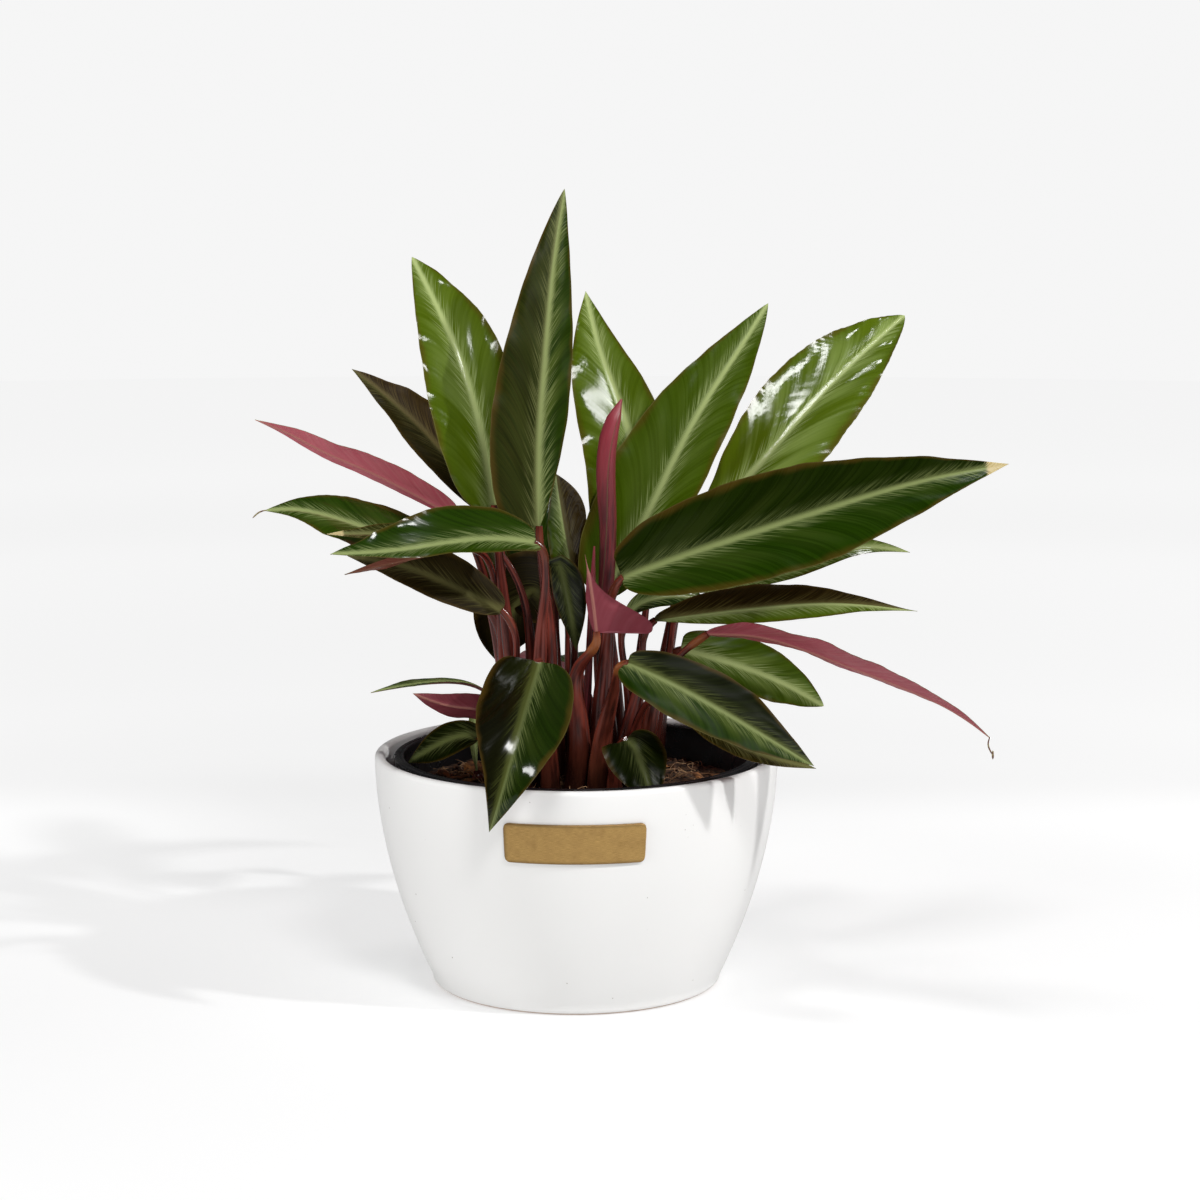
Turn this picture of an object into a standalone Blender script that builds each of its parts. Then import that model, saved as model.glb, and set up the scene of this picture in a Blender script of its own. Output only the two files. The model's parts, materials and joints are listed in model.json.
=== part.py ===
"""Potted stromanthe: a nursery pot of long feathered leaves standing in a white tapered planter.

Metres, +Z up. The origin is on the floor, under the middle of the planter; the plate looks along -Y.
Sizes in the tables below are millimetres, and MM turns them into metres.
"""
import math

import bmesh
import bpy
import numpy as np
from mathutils import Vector

for old in list(bpy.data.objects):
    bpy.data.objects.remove(old, do_unlink=True)

MM = 0.001
GAP = 0.3

# planter: a tapered pot whose wall bows out towards the rim
PLANTER_HEIGHT = 103.0
PLANTER_RIM_RADIUS = 89.4
PLANTER_BASE_RADIUS = 63.0
PLANTER_BOW = 1.9
PLANTER_WALL = 4.5
PLANTER_FLOOR = 6.0
PLANTER_CORNER = 2.5

# nursery pot: the thin black grower's pot that stands on the planter's floor
NURSERY_BASE_RADIUS = 56.0
NURSERY_TOP_RADIUS = 78.0
NURSERY_RIM_RADIUS = 81.0
NURSERY_RIM_Z = 102.0
NURSERY_RIM_DROP = 7.0
NURSERY_WALL = 1.4

# soil, up to well below the nursery pot's rim
SOIL_TOP = 88.0

# brass plate on the front of the planter
PLATE_LENGTH = 60.0
PLATE_HEIGHT = 17.2
PLATE_THICKNESS = 1.1
PLATE_CORNER = 2.5
PLATE_MIDDLE_Z = 80.6

TURN_STEPS = 48
CURVE_SPOTS = 120

# leaves
BLADE_THICKNESS = 0.7
BLADE_STATIONS = 11
PETIOLE_STATIONS = 6
BLADE_ACROSS = (-1.0, -0.5, 0.0, 0.5, 1.0)
BLADE_BASE_HALF = 1.3
BLADE_TIP_HALF = 0.35
STALK_SIDES = 8
STALK_STATIONS = 8
STALK_TOP_RADIUS = 1.35
STALK_FOOT_RADIUS = 2.9
PULVINUS_RADIUS = 1.9
STALK_SEAT = 0.7


def leaf(route, left, right, faces, foot=None, via=(), lifts=(10, 10), point=1.0, lobes=(3, 3),
         petiole=0.0, shade="green"):
    """One leaf: its midrib from base to tip, its left and right side as (half width, where it is widest,
    how sharply it starts), the way its upper side looks, its stalk's foot and the points it passes, the
    lift of each side, the tip's sharpness, how far the lobes reach back, and the share of the route that
    is petiole on a leaf with no stalk of its own"""
    return dict(route=route, sides=(left, right), faces=faces, foot=foot, via=via, lifts=lifts, point=point,
                lobes=lobes, petiole=petiole, shade=shade)


# Left and right are as seen on the upper side with the tip up. A leaf without a foot rises from the
# soil along its own route.
LEAVES = {
    "tall": leaf([(-16, -10, 204), (-16, -9, 238), (-13, -4, 283), (-9, 6, 324), (-5, 14, 350)],
                 (22, 0.27, 0.5), (12.3, 0.42, 1.1), (0.1, -1, 0.3), foot=(-12, -8),
                 via=[(-12, -10, 120), (-12, -11, 165)], point=0.85),
    "upper_left": leaf([(-36, 0, 212), (-41, 4, 241), (-52, 12, 278), (-65, 24, 305), (-73, 30, 320)],
                       (20.5, 0.36, 0.5), (19.2, 0.52, 0.5), (0.2, -1, 0.4), foot=(-24, -6),
                       via=[(-26, -6, 120), (-31, -5, 165)], point=0.85),
    "back_left": leaf([(-38, 14, 210), (-61, 26, 235), (-83, 40, 255), (-102, 50, 269)],
                      (12, 0.38, 0.5), (17, 0.38, 0.5), (0.3, -0.8, 0.6), foot=(-27, 6),
                      via=[(-29, 7, 120), (-33, 9, 165)]),
    "far_left": leaf([(-54, 2, 208), (-75, 5, 219), (-94, 8, 228), (-111, 11, 235), (-127, 13, 243),
                      (-142, 14, 249)],
                     (10.5, 0.36, 0.4), (6, 0.5, 0.5), (-0.3, 0.62, 0.74), foot=(-31, 14),
                     via=[(-31, 14, 120), (-38, 14, 165)], shade="burgundy"),
    "mid_left": leaf([(-57, 1, 187), (-78, -2, 197), (-94, -6, 204), (-108, -10, 209), (-121, -13, 212),
                      (-135, -16, 212)],
                     (17.5, 0.42, 0.4), (16, 0.4, 0.3), (0.2, -0.6, 0.8), foot=(-35, 5),
                     via=[(-33, 4, 120), (-35, 4, 160)]),
    "yellow_tipped": leaf([(-18, 9, 88.3), (-20, 8, 140), (-28, 6, 182), (-39, 3, 196), (-52, -8, 202),
                           (-80, -22, 203), (-107, -26, 203)],
                          (6, 0.5, 0.6), (6, 0.5, 0.6), (0.0, -0.5, 0.9), petiole=0.66),
    "front_left": leaf([(-17, -30, 200), (-33, -35, 202), (-49, -42, 202), (-74, -48, 199),
                        (-103, -55, 198)],
                       (9.5, 0.3, 0.5), (20, 0.4, 0.5), (0.0, -0.6, 0.8), foot=(-20, -14),
                       via=[(-17, -16, 120), (-14.5, -22, 165)], lobes=(6, 2), point=1.0),
    "brown_left": leaf([(-30, -2, 88.3), (-32, -1, 130), (-35, -1, 175), (-43, -12, 195), (-56, -27, 196),
                        (-75, -38, 193), (-98, -45, 188)],
                       (6, 0.5, 0.6), (8, 0.55, 0.6), (0.0, 0.5, 0.85), petiole=0.66, shade="burgundy"),
    "dark_left": leaf([(-32, -14, 168), (-50, -18, 177), (-72, -24, 188), (-98, -30, 194)],
                      (10, 0.5, 0.5), (14, 0.45, 0.5), (0.2, -0.8, 0.5), foot=(-29, -16),
                      via=[(-30, -17, 120)]),
    "front_drooping": leaf([(-16, -46, 151), (-22, -76, 134), (-28, -98, 114), (-35, -101, 89)],
                           (20, 0.36, 0.4), (21, 0.28, 0.3), (-0.1, -0.9, 0.5), foot=(-11, -24),
                           via=[(-12, -28, 120)], lifts=(-8, -8), lobes=(3, 8)),
    "centre_folded": leaf([(9, -26, 160), (7, -26, 177), (4, -25, 194)],
                          (25, 0.08, 0.4), (3, 0.4, 0.6), (0.0, 1, 0.1), foot=(0, -16),
                          via=[(1, -18, 120), (2, -20, 145)], point=2.3, lobes=(4, 0), shade="burgundy"),
    "right_drooping": leaf([(22, -50, 151), (44, -66, 143), (69, -80, 131), (99, -88, 114)],
                           (14.5, 0.47, 0.4), (15, 0.42, 0.4), (-0.1, -0.8, 0.7), foot=(10, -24),
                           via=[(12, -28, 115), (17, -38, 140)], lobes=(6, 4)),
    "under_right": leaf([(24, -22, 88.3), (26, -28, 118), (33, -40, 133), (61, -60, 122), (101, -74, 110)],
                        (6, 0.5, 0.6), (6, 0.5, 0.6), (-0.1, -0.8, 0.7), petiole=0.45),
    "pale_right": leaf([(46, -2, 149), (70, -9, 143), (90, -15, 136), (108, -22, 127)],
                       (14, 0.42, 0.3), (12.5, 0.55, 0.4), (-0.1, -0.8, 0.7), foot=(26, 6),
                       via=[(30, 5, 110), (36, 3, 130)], point=0.8),
    "far_right": leaf([(57, -22, 159), (79, -35, 160), (110, -51, 152), (143, -67, 141), (162, -76, 132),
                       (173, -80, 124)],
                      (10.5, 0.4, 0.6), (13, 0.48, 0.6), (0.3, 0.44, 0.85), foot=(27, -12),
                      via=[(32, -14, 115), (42, -17, 145)], shade="burgundy"),
    "dark_right": leaf([(34, -17, 164), (75, -31, 171), (113, -42, 175), (145, -50, 173)],
                       (11.5, 0.38, 0.8), (8.5, 0.5, 0.9), (0.0, -0.8, 0.7), foot=(19, -9),
                       via=[(23, -11, 115), (29, -13, 145)], point=1.4),
    "big_right": leaf([(20, -18, 183), (53, -34, 197), (103, -52, 216), (151, -68, 232), (179, -74, 238)],
                      (24.5, 0.36, 0.4), (25, 0.48, 0.5), (-0.2, -0.9, 0.5), foot=(10, -12),
                      via=[(11, -13, 120), (14, -15, 160)], lobes=(8, 3)),
    "narrow_right": leaf([(50, -1, 174), (98, -9, 187), (127, -15, 196), (145, -18, 194)],
                         (7, 0.5, 0.6), (5.5, 0.55, 0.6), (-0.2, -0.8, 0.6), foot=(33, -4),
                         via=[(36, -6, 120), (41, -7, 150)]),
    "back_right": leaf([(55, 16, 200), (83, 34, 228), (113, 54, 259), (151, 76, 292)],
                       (25, 0.58, 0.6), (27, 0.42, 0.6), (-0.4, -0.8, 0.5), foot=(34, 12),
                       via=[(37, 12, 120), (44, 12, 165)], point=0.75),
    "upper_right": leaf([(13, 7, 171), (35, 12, 214), (55, 24, 252), (73, 34, 279), (86, 42, 299)],
                        (25.5, 0.33, 0.5), (18.5, 0.46, 0.6), (-0.3, -0.9, 0.3), foot=(14, 9),
                        via=[(13, 9, 120)], point=0.85),
    "upper_back": leaf([(16, 14, 178), (24, 26, 239), (12, 38, 274), (4, 54, 304)],
                       (22, 0.48, 0.55), (16, 0.46, 0.6), (0.0, -1, 0.3), foot=(18, 18),
                       via=[(17, 17, 130)]),
    "behind_tall": leaf([(-1, 20, 88.3), (-1, 21, 140), (-1, 22, 174), (-5, 18, 200), (-9, 13, 225)],
                        (9, 0.4, 0.6), (10.5, 0.68, 0.9), (0.0, -1, 0.2), petiole=0.58, point=0.9),
    "under_big": leaf([(22, -1, 88.3), (23, -1, 130), (24, -3, 166), (41, -6, 173), (58, -10, 172)],
                      (7, 0.5, 0.6), (7, 0.5, 0.6), (0.0, -0.6, 0.8), petiole=0.66),
    "hanging": leaf([(-8, 4, 88.3), (-9, 12, 150), (-8, 13, 184), (-4, 4, 170), (0, -2, 148)],
                    (9, 0.4, 0.6), (6, 0.4, 0.6), (0.2, -0.8, 0.2), petiole=0.68),
    "low_dark": leaf([(-14, 16, 88.3), (-14, 20, 150), (-19, 24, 171), (-31, 28, 158), (-35, 33, 136)],
                     (11, 0.5, 0.6), (14, 0.35, 0.6), (0.2, -0.8, 0.5), petiole=0.55),
    "low_thin": leaf([(-22, -22, 88.3), (-27, -23, 112), (-40, -27, 135), (-61, -36, 140), (-87, -50, 138)],
                     (6, 0.5, 0.6), (6, 0.5, 0.6), (0.1, 0.0, 1.0), petiole=0.45),
    "low_burgundy": leaf([(-26, -26, 88.3), (-29, -29, 108), (-37, -35, 126), (-52, -44, 131),
                          (-69, -52, 138)],
                         (8, 0.4, 0.6), (8, 0.4, 0.6), (-0.2, 0.8, 0.6), petiole=0.45, shade="burgundy"),
    "small_strip": leaf([(-44, 6, 88.3), (-46, 8, 105), (-45, 10, 126)],
                        (2.5, 0.6, 0.7), (2.5, 0.6, 0.7), (0.2, -1, 0.1), petiole=0.1),
    "in_pot_left": leaf([(-35, -9, 88.3), (-36, -10, 103), (-43, -11, 111), (-60, -10, 108),
                         (-74.6, -6, 98.5)],
                        (9, 0.45, 0.6), (8, 0.35, 0.6), (0.0, -0.75, 0.65), petiole=0.42),
    "in_pot_right": leaf([(17, -30, 88.3), (18, -35, 108), (22, -42, 116), (28, -54, 108), (34, -63, 90)],
                         (12, 0.35, 0.4), (15, 0.35, 0.4), (0.1, -0.7, 0.7), petiole=0.45),
    "rear_left": leaf([(-30, 26, 88.3), (-33, 38, 150), (-42, 58, 192), (-58, 88, 190), (-68, 112, 168)],
                      (15, 0.45, 0.5), (15, 0.45, 0.5), (-0.2, 0.4, 0.9), petiole=0.5),
    "rear_middle": leaf([(-4, 28, 88.3), (-4, 38, 150), (-8, 62, 182), (-14, 96, 176), (-20, 124, 148)],
                        (17, 0.45, 0.5), (17, 0.45, 0.5), (-0.1, 0.3, 0.9), petiole=0.48),
    "rear_right": leaf([(26, 26, 88.3), (30, 36, 150), (46, 62, 198), (72, 94, 196), (98, 120, 170)],
                       (17, 0.45, 0.5), (17, 0.45, 0.5), (0.2, 0.4, 0.9), petiole=0.5),
    "rear_upright": leaf([(-14, 30, 88.3), (-15, 36, 150), (-24, 50, 205), (-38, 68, 264)],
                         (15, 0.45, 0.5), (15, 0.45, 0.5), (0.1, -0.9, 0.4), petiole=0.45),
    "rear_drooping": leaf([(8, 36, 88.3), (4, 50, 122), (-8, 82, 132), (-18, 112, 108), (-22, 120, 84)],
                          (17, 0.4, 0.5), (17, 0.4, 0.5), (-0.1, 0.5, 0.9), petiole=0.4),
    "rear_low": leaf([(32, 32, 88.3), (37, 46, 118), (52, 74, 130), (70, 100, 116)],
                     (15, 0.4, 0.5), (15, 0.4, 0.5), (0.2, 0.3, 0.9), petiole=0.42),
}

# young leaves, still rolled: middle line and its radii
SPEARS = {
    "tall_spear": ([(10.5, 0, 88.3), (12, 0, 130), (13, 0, 170), (14, 0, 206), (15, 0, 245), (20, 2, 259)],
                   (4.6, 3.4, 2.9, 2.9, 2.4, 3.6, 4.2, 4.2, 4.0, 0.5)),
    "small_spear": ([(3, -5, 88.3), (6, -5, 150), (8, -5, 195)], (2.6, 2.2, 1.8, 1.7, 1.6, 1.5, 1.3, 0.4)),
}

# shades: colour, roughness, metallic
SHADES = {
    "green": ((0.05, 0.14, 0.03), 0.35, 0.0),
    "burgundy": ((0.18, 0.03, 0.05), 0.5, 0.0),
    "stalk": ((0.15, 0.04, 0.03), 0.45, 0.0),
    "ceramic": ((0.82, 0.82, 0.80), 0.35, 0.0),
    "black": ((0.012, 0.012, 0.013), 0.4, 0.0),
    "soil": ((0.07, 0.04, 0.025), 0.95, 0.0),
    "brass": ((0.42, 0.30, 0.14), 0.4, 1.0),
}


# ---- lines and directions in space

def unit(vector):
    return vector / max(np.linalg.norm(vector), 1e-9)


def curve_through(points):
    """Many spots on a natural cubic curve through the points"""
    points = np.array(points, float)
    steps = np.linalg.norm(np.diff(points, axis=0), axis=1)
    knots = np.concatenate([[0.0], np.cumsum(steps)])
    last = len(points) - 1
    left, right = np.eye(last + 1), np.zeros((last + 1, 3))
    for i in range(1, last):
        left[i, i - 1:i + 2] = steps[i - 1], 2 * (steps[i - 1] + steps[i]), steps[i]
        right[i] = 6 * ((points[i + 1] - points[i]) / steps[i] - (points[i] - points[i - 1]) / steps[i - 1])
    bend = np.linalg.solve(left, right)
    fine = []
    for place in np.linspace(0, knots[-1], CURVE_SPOTS):
        i = min(max(int(np.searchsorted(knots, place)) - 1, 0), last - 1)
        a, b, step = place - knots[i], knots[i + 1] - place, steps[i]
        fine.append((bend[i] * b ** 3 + bend[i + 1] * a ** 3) / (6 * step)
                    + (points[i] / step - bend[i] * step / 6) * b
                    + (points[i + 1] / step - bend[i + 1] * step / 6) * a)
    return np.array(fine)


def stations_along(points, places):
    """Spots at the given shares of the curve's length, and the way the curve runs there"""
    fine = curve_through(points)
    run = np.concatenate([[0.0], np.cumsum(np.linalg.norm(np.diff(fine, axis=0), axis=1))])
    ways = np.array([unit(step) for step in np.gradient(fine, axis=0)])
    want = np.array(places) * run[-1]
    line = np.stack([np.interp(want, run, fine[:, k]) for k in range(3)], axis=1)
    ahead = np.stack([np.interp(want, run, ways[:, k]) for k in range(3)], axis=1)
    return line, np.array([unit(way) for way in ahead])


# ---- leaf blades

def half_width(place, belly, blunt, point):
    """Share of the half width at a place from base (0) to tip (1), widest at belly"""
    swell = math.sin(math.pi * place ** (math.log(0.5) / math.log(belly)))
    return max(swell, 0.0) ** (blunt if place < belly else point)


def blade_sections(spec, stations=BLADE_STATIONS, across=BLADE_ACROSS):
    """Closed sections of a leaf, upper side first and then the underside, from base to tip. Those along
    a petiole are round, and the blade spreads from its end"""
    petiole = spec["petiole"]
    places = np.linspace(0, 1, stations)
    if petiole:
        round_places = np.linspace(0, petiole, PETIOLE_STATIONS)
        places = np.concatenate([round_places, petiole + (1 - petiole) * places[1:]])
    line, ahead = stations_along(spec["route"], places)
    if petiole:
        ahead[0] = (0, 0, 1)
    sections = []
    for middle, way, along in zip(line, ahead, places):
        place = max(along - petiole, 0.0) / (1 - petiole)
        looks = np.array(spec["faces"], float)
        up = unit(looks - way * (looks @ way))
        right = np.cross(way, up)
        if petiole and place == 0:
            radius = petiole_radius(along / petiole)
            sections.append(round_section(middle, right, up, radius, across))
        else:
            sections.append(blade_section(spec, middle, way, right, up, place, across))
    return sections


def round_section(middle, right, up, radius, across):
    turns = [math.pi / 2 * (1 - u) for u in across]
    upper = [middle + right * (radius * math.cos(t)) + up * (radius * math.sin(t) + 0.1) for t in turns]
    under = [middle + right * (radius * math.cos(t)) - up * (radius * math.sin(t) + 0.1) for t in turns]
    return upper + under[::-1]


def blade_section(spec, middle, way, right, up, place, across):
    narrowest = BLADE_BASE_HALF + (BLADE_TIP_HALF - BLADE_BASE_HALF) * place
    upper, under = [], []
    for u in across:
        side = 0 if u < 0 else 1
        widest, belly, blunt = spec["sides"][side]
        half = max(widest * half_width(place, belly, blunt, spec["point"]), narrowest)
        lift = math.radians(spec["lifts"][side])
        back = spec["lobes"][side] * abs(u) ** 1.5 * (1 - place) ** 5 * half / widest
        out, rise = half * u * math.cos(lift), half * abs(u) * math.sin(lift)
        spot = middle - way * back + right * out + up * rise
        upper.append(spot + up * BLADE_THICKNESS / 2)
        under.append(spot - up * BLADE_THICKNESS / 2)
    return upper + under[::-1]


# ---- stalks

def petiole_radius(place):
    """A wide sheath at the foot, then a slim stalk"""
    return STALK_TOP_RADIUS + (STALK_FOOT_RADIUS - STALK_TOP_RADIUS) * (1 - place) ** 1.5


def stalk_route(spec):
    """From the foot on the soil to just short of the blade"""
    base, ahead = stations_along(spec["route"], [0])
    top = base[0] - ahead[0] * STALK_SEAT
    return [(*spec["foot"], SOIL_TOP + GAP), *spec["via"], top - ahead[0] * 4, top]


def tube_sections(route, radii, sides=STALK_SIDES):
    """Round sections along a route, one for each radius"""
    line, ahead = stations_along(route, np.linspace(0, 1, len(radii)))
    ahead[0] = (0, 0, 1)
    side = unit(np.cross(ahead[0], (0.0, 1.0, 0.2)))
    sections = []
    for middle, way, radius in zip(line, ahead, radii):
        side = unit(side - way * (side @ way))
        other = np.cross(way, side)
        turns = [2 * math.pi * k / sides for k in range(sides)]
        sections.append([middle + radius * (side * math.cos(t) + other * math.sin(t)) for t in turns])
    return sections


def stalk_sections(spec):
    radii = [petiole_radius(place) for place in np.linspace(0, 1, STALK_STATIONS)]
    radii[-2] = PULVINUS_RADIUS
    return tube_sections(stalk_route(spec), radii)



def material(shade):
    """A Principled material for one of the shades"""
    name = "mat_" + shade
    if name in bpy.data.materials:
        return bpy.data.materials[name]
    made = bpy.data.materials.new(name)
    made.use_nodes = True
    shader = made.node_tree.nodes["Principled BSDF"]
    colour, roughness, metallic = SHADES[shade]
    shader.inputs["Base Color"].default_value = (*colour, 1.0)
    shader.inputs["Roughness"].default_value = roughness
    shader.inputs["Metallic"].default_value = metallic
    made.diffuse_color = (*colour, 1.0)
    return made


def finished(name, mesh_data, shade, smooth=35):
    """An object in the scene from a bmesh in millimetres"""
    bmesh.ops.scale(mesh_data, vec=(MM, MM, MM), verts=mesh_data.verts)
    mesh = bpy.data.meshes.new(name)
    mesh_data.to_mesh(mesh)
    mesh_data.free()
    mesh.shade_smooth()
    mesh.set_sharp_from_angle(angle=math.radians(smooth))
    mesh.materials.append(material(shade))
    made = bpy.data.objects.new(name, mesh)
    bpy.context.scene.collection.objects.link(made)
    return made


def lofted(name, sections, shade):
    """A closed body through closed sections, with a flat cap on each end"""
    built = bmesh.new()
    rings = [[built.verts.new(Vector(spot)) for spot in section] for section in sections]
    around = len(rings[0])
    for ring, following in zip(rings, rings[1:]):
        for k in range(around):
            after = (k + 1) % around
            built.faces.new((ring[k], ring[after], following[after], following[k]))
    built.faces.new(rings[0][::-1])
    built.faces.new(rings[-1])
    bmesh.ops.triangulate(built, faces=built.faces)
    bmesh.ops.recalc_face_normals(built, faces=built.faces)
    return finished(name, built, shade)


def turned_body(name, profile, shade):
    """A closed body turned about Z from a half section that starts and ends on the axis"""
    built = bmesh.new()
    spots = [built.verts.new((radius, 0.0, z)) for radius, z in profile]
    edges = [built.edges.new(pair) for pair in zip(spots, spots[1:])]
    bmesh.ops.spin(built, geom=spots + edges, cent=(0, 0, 0), axis=(0, 0, 1), angle=2 * math.pi,
                   steps=TURN_STEPS, use_merge=True)
    bmesh.ops.remove_doubles(built, verts=built.verts, dist=1e-4)
    bmesh.ops.recalc_face_normals(built, faces=built.faces)
    return finished(name, built, shade)


# ---- pots, soil and plate

def planter_radius(z):
    """Outer radius of the planter at a height"""
    return PLANTER_RIM_RADIUS - (PLANTER_RIM_RADIUS - PLANTER_BASE_RADIUS) \
        * (1 - z / PLANTER_HEIGHT) ** PLANTER_BOW


def make_planter():
    lip = PLANTER_WALL / 2
    lip_z = PLANTER_HEIGHT - lip
    heights = [PLANTER_CORNER, 14, 26, 40, 55, 72, lip_z]
    outside = [(planter_radius(z), z) for z in heights]
    lip_middle = planter_radius(lip_z) - lip
    rim = [(lip_middle + lip * math.cos(t), lip_z + lip * math.sin(t))
           for t in (math.pi / 4, math.pi / 2, 3 * math.pi / 4)]
    inside = [(planter_radius(z) - PLANTER_WALL, z) for z in reversed(heights[1:])]
    floor_radius = planter_radius(PLANTER_FLOOR) - PLANTER_WALL
    profile = [(0.0, 0.0), (planter_radius(0) - PLANTER_CORNER, 0.0), *outside, *rim, *inside,
               (floor_radius, PLANTER_FLOOR), (0.0, PLANTER_FLOOR)]
    return turned_body("planter", profile, "ceramic")


def nursery_radius(z):
    """Outer radius of the nursery pot below its rim"""
    share = (z - PLANTER_FLOOR) / (NURSERY_RIM_Z - PLANTER_FLOOR)
    return NURSERY_BASE_RADIUS + (NURSERY_TOP_RADIUS - NURSERY_BASE_RADIUS) * share


def make_nursery_pot():
    base_z = PLANTER_FLOOR + GAP
    rim_low = NURSERY_RIM_Z - NURSERY_RIM_DROP
    rim_inside = nursery_radius(NURSERY_RIM_Z) - NURSERY_WALL
    floor_z = base_z + NURSERY_WALL
    profile = [(0.0, base_z), (nursery_radius(base_z), base_z), (nursery_radius(rim_low), rim_low),
               (NURSERY_RIM_RADIUS - 0.8, rim_low), (NURSERY_RIM_RADIUS, NURSERY_RIM_Z - 1),
               (NURSERY_RIM_RADIUS - 1, NURSERY_RIM_Z), (rim_inside, NURSERY_RIM_Z),
               (nursery_radius(floor_z) - NURSERY_WALL, floor_z), (0.0, floor_z)]
    return turned_body("nursery_pot", profile, "black")


def make_soil():
    bottom = PLANTER_FLOOR + NURSERY_WALL + 2 * GAP
    clear = NURSERY_WALL + GAP
    profile = [(0.0, bottom), (nursery_radius(bottom) - clear, bottom),
               (nursery_radius(SOIL_TOP) - clear, SOIL_TOP), (0.0, SOIL_TOP)]
    return turned_body("soil", profile, "soil")


def make_plate():
    """The plate follows the planter's wall, so each section is an upright strip of it"""
    steps = 14
    sections = []
    for along in np.linspace(-PLATE_LENGTH / 2, PLATE_LENGTH / 2, steps + 1):
        past = max(abs(along) - (PLATE_LENGTH / 2 - PLATE_CORNER), 0.0)
        rise = PLATE_HEIGHT / 2 - PLATE_CORNER + math.sqrt(max(PLATE_CORNER ** 2 - past ** 2, 0.0))
        strip = []
        for z, out in ((-rise, 0), (-rise, 1), (rise, 1), (rise, 0)):
            height = PLATE_MIDDLE_Z + z
            radius = planter_radius(height) + GAP + PLATE_THICKNESS * out
            turn = along / planter_radius(PLATE_MIDDLE_Z)
            strip.append((radius * math.sin(turn), -radius * math.cos(turn), height))
        sections.append(strip)
    return lofted("label_plate", sections, "brass")


def make_leaves():
    for name, spec in LEAVES.items():
        lofted("leaf_" + name, blade_sections(spec), spec["shade"])
        if spec["foot"]:
            lofted("stalk_" + name, stalk_sections(spec), "stalk")
    for name, (route, radii) in SPEARS.items():
        lofted(name, tube_sections(route, radii), "burgundy")


make_planter()
make_nursery_pot()
make_soil()
make_plate()
make_leaves()
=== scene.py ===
"""The looks of a potted stromanthe: a young plant in its nursery pot, standing in a white planter.

Metres, +Z up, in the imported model's own frame. Sizes in the sections are millimetres unless they say
otherwise, and MM turns them into metres.
"""
import json
import math
import random

import bpy
import numpy as np
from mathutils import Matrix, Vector, noise

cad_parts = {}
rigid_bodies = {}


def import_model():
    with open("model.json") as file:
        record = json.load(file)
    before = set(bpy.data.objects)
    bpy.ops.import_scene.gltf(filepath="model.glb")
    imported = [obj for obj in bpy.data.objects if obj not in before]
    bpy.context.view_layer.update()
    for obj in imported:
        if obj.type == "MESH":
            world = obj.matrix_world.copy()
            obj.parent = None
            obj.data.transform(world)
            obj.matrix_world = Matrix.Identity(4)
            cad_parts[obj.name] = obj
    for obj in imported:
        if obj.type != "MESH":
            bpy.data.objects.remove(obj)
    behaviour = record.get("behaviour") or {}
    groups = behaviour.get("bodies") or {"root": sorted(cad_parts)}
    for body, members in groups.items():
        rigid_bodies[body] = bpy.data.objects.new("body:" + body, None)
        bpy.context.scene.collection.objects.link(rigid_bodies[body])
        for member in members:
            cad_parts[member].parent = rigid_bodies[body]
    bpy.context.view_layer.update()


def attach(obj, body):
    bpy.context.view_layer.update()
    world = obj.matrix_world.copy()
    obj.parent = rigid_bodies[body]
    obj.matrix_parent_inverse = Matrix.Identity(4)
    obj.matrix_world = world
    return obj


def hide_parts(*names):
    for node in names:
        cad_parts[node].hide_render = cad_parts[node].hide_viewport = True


for old in list(bpy.data.objects):
    bpy.data.objects.remove(old, do_unlink=True)

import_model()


# ---- planter
# One piece of slip-cast stoneware under a white satin glaze. The wall tapers to the foot and bows out a
# little towards the rim, the lip is rounded and wiped, and the foot ring underneath is left bare.

MM = 0.001
RIM_RADIUS = 89.4
FOOT_RADIUS = 63.0
POT_HEIGHT = 103.0
POT_BOW = 1.9
POT_WALL = 4.5
POT_FLOOR = 6.0
LIP_RADIUS = 1.9
FOOT_RECESS = 1.2
CLEARANCE = 0.3


def planter_radius(z):
    """Outer radius of the planter at a height"""
    return RIM_RADIUS - (RIM_RADIUS - FOOT_RADIUS) * (1 - z / POT_HEIGHT) ** POT_BOW


def turned(profile, around=208):
    """Points and faces of a body turned about the upright axis, its profile running from pole to pole"""
    points, faces, rows = [], [], []
    turns = [2 * math.pi * k / around for k in range(around)]
    for radius, z in profile:
        ring = [(radius * math.cos(t), radius * math.sin(t), z) for t in turns]
        spots = ring if radius else ring[:1]
        rows.append(range(len(points), len(points) + len(spots)))
        points += spots
    for low, high in zip(rows, rows[1:]):
        for k in range(around):
            after = (k + 1) % around
            if len(low) == 1:
                faces.append((low[0], high[after], high[k]))
            elif len(high) == 1:
                faces.append((low[k], low[after], high[0]))
            else:
                faces.append((low[k], low[after], high[after], high[k]))
    return points, faces


def arc(middle, radius, start, end, steps=8):
    """Points of a fillet in the profile, angles in degrees"""
    return [(middle[0] + radius * math.cos(math.radians(a)), middle[1] + radius * math.sin(math.radians(a)))
            for a in np.linspace(start, end, steps)]


def make_piece(name, points, faces, finishes, nodes=(), sharp=40):
    """A closed smooth mesh from points in millimetres, which stands for the plain nodes"""
    mesh = bpy.data.meshes.new(name)
    mesh.from_pydata((np.asarray(points, float) * MM).tolist(), [], faces)
    for finish in finishes:
        mesh.materials.append(finish)
    mesh.shade_smooth()
    mesh.set_sharp_from_angle(angle=math.radians(sharp))
    made = bpy.data.objects.new(name, mesh)
    bpy.context.scene.collection.objects.link(made)
    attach(made, "root")
    if nodes:
        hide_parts(*nodes)
    return made


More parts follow.
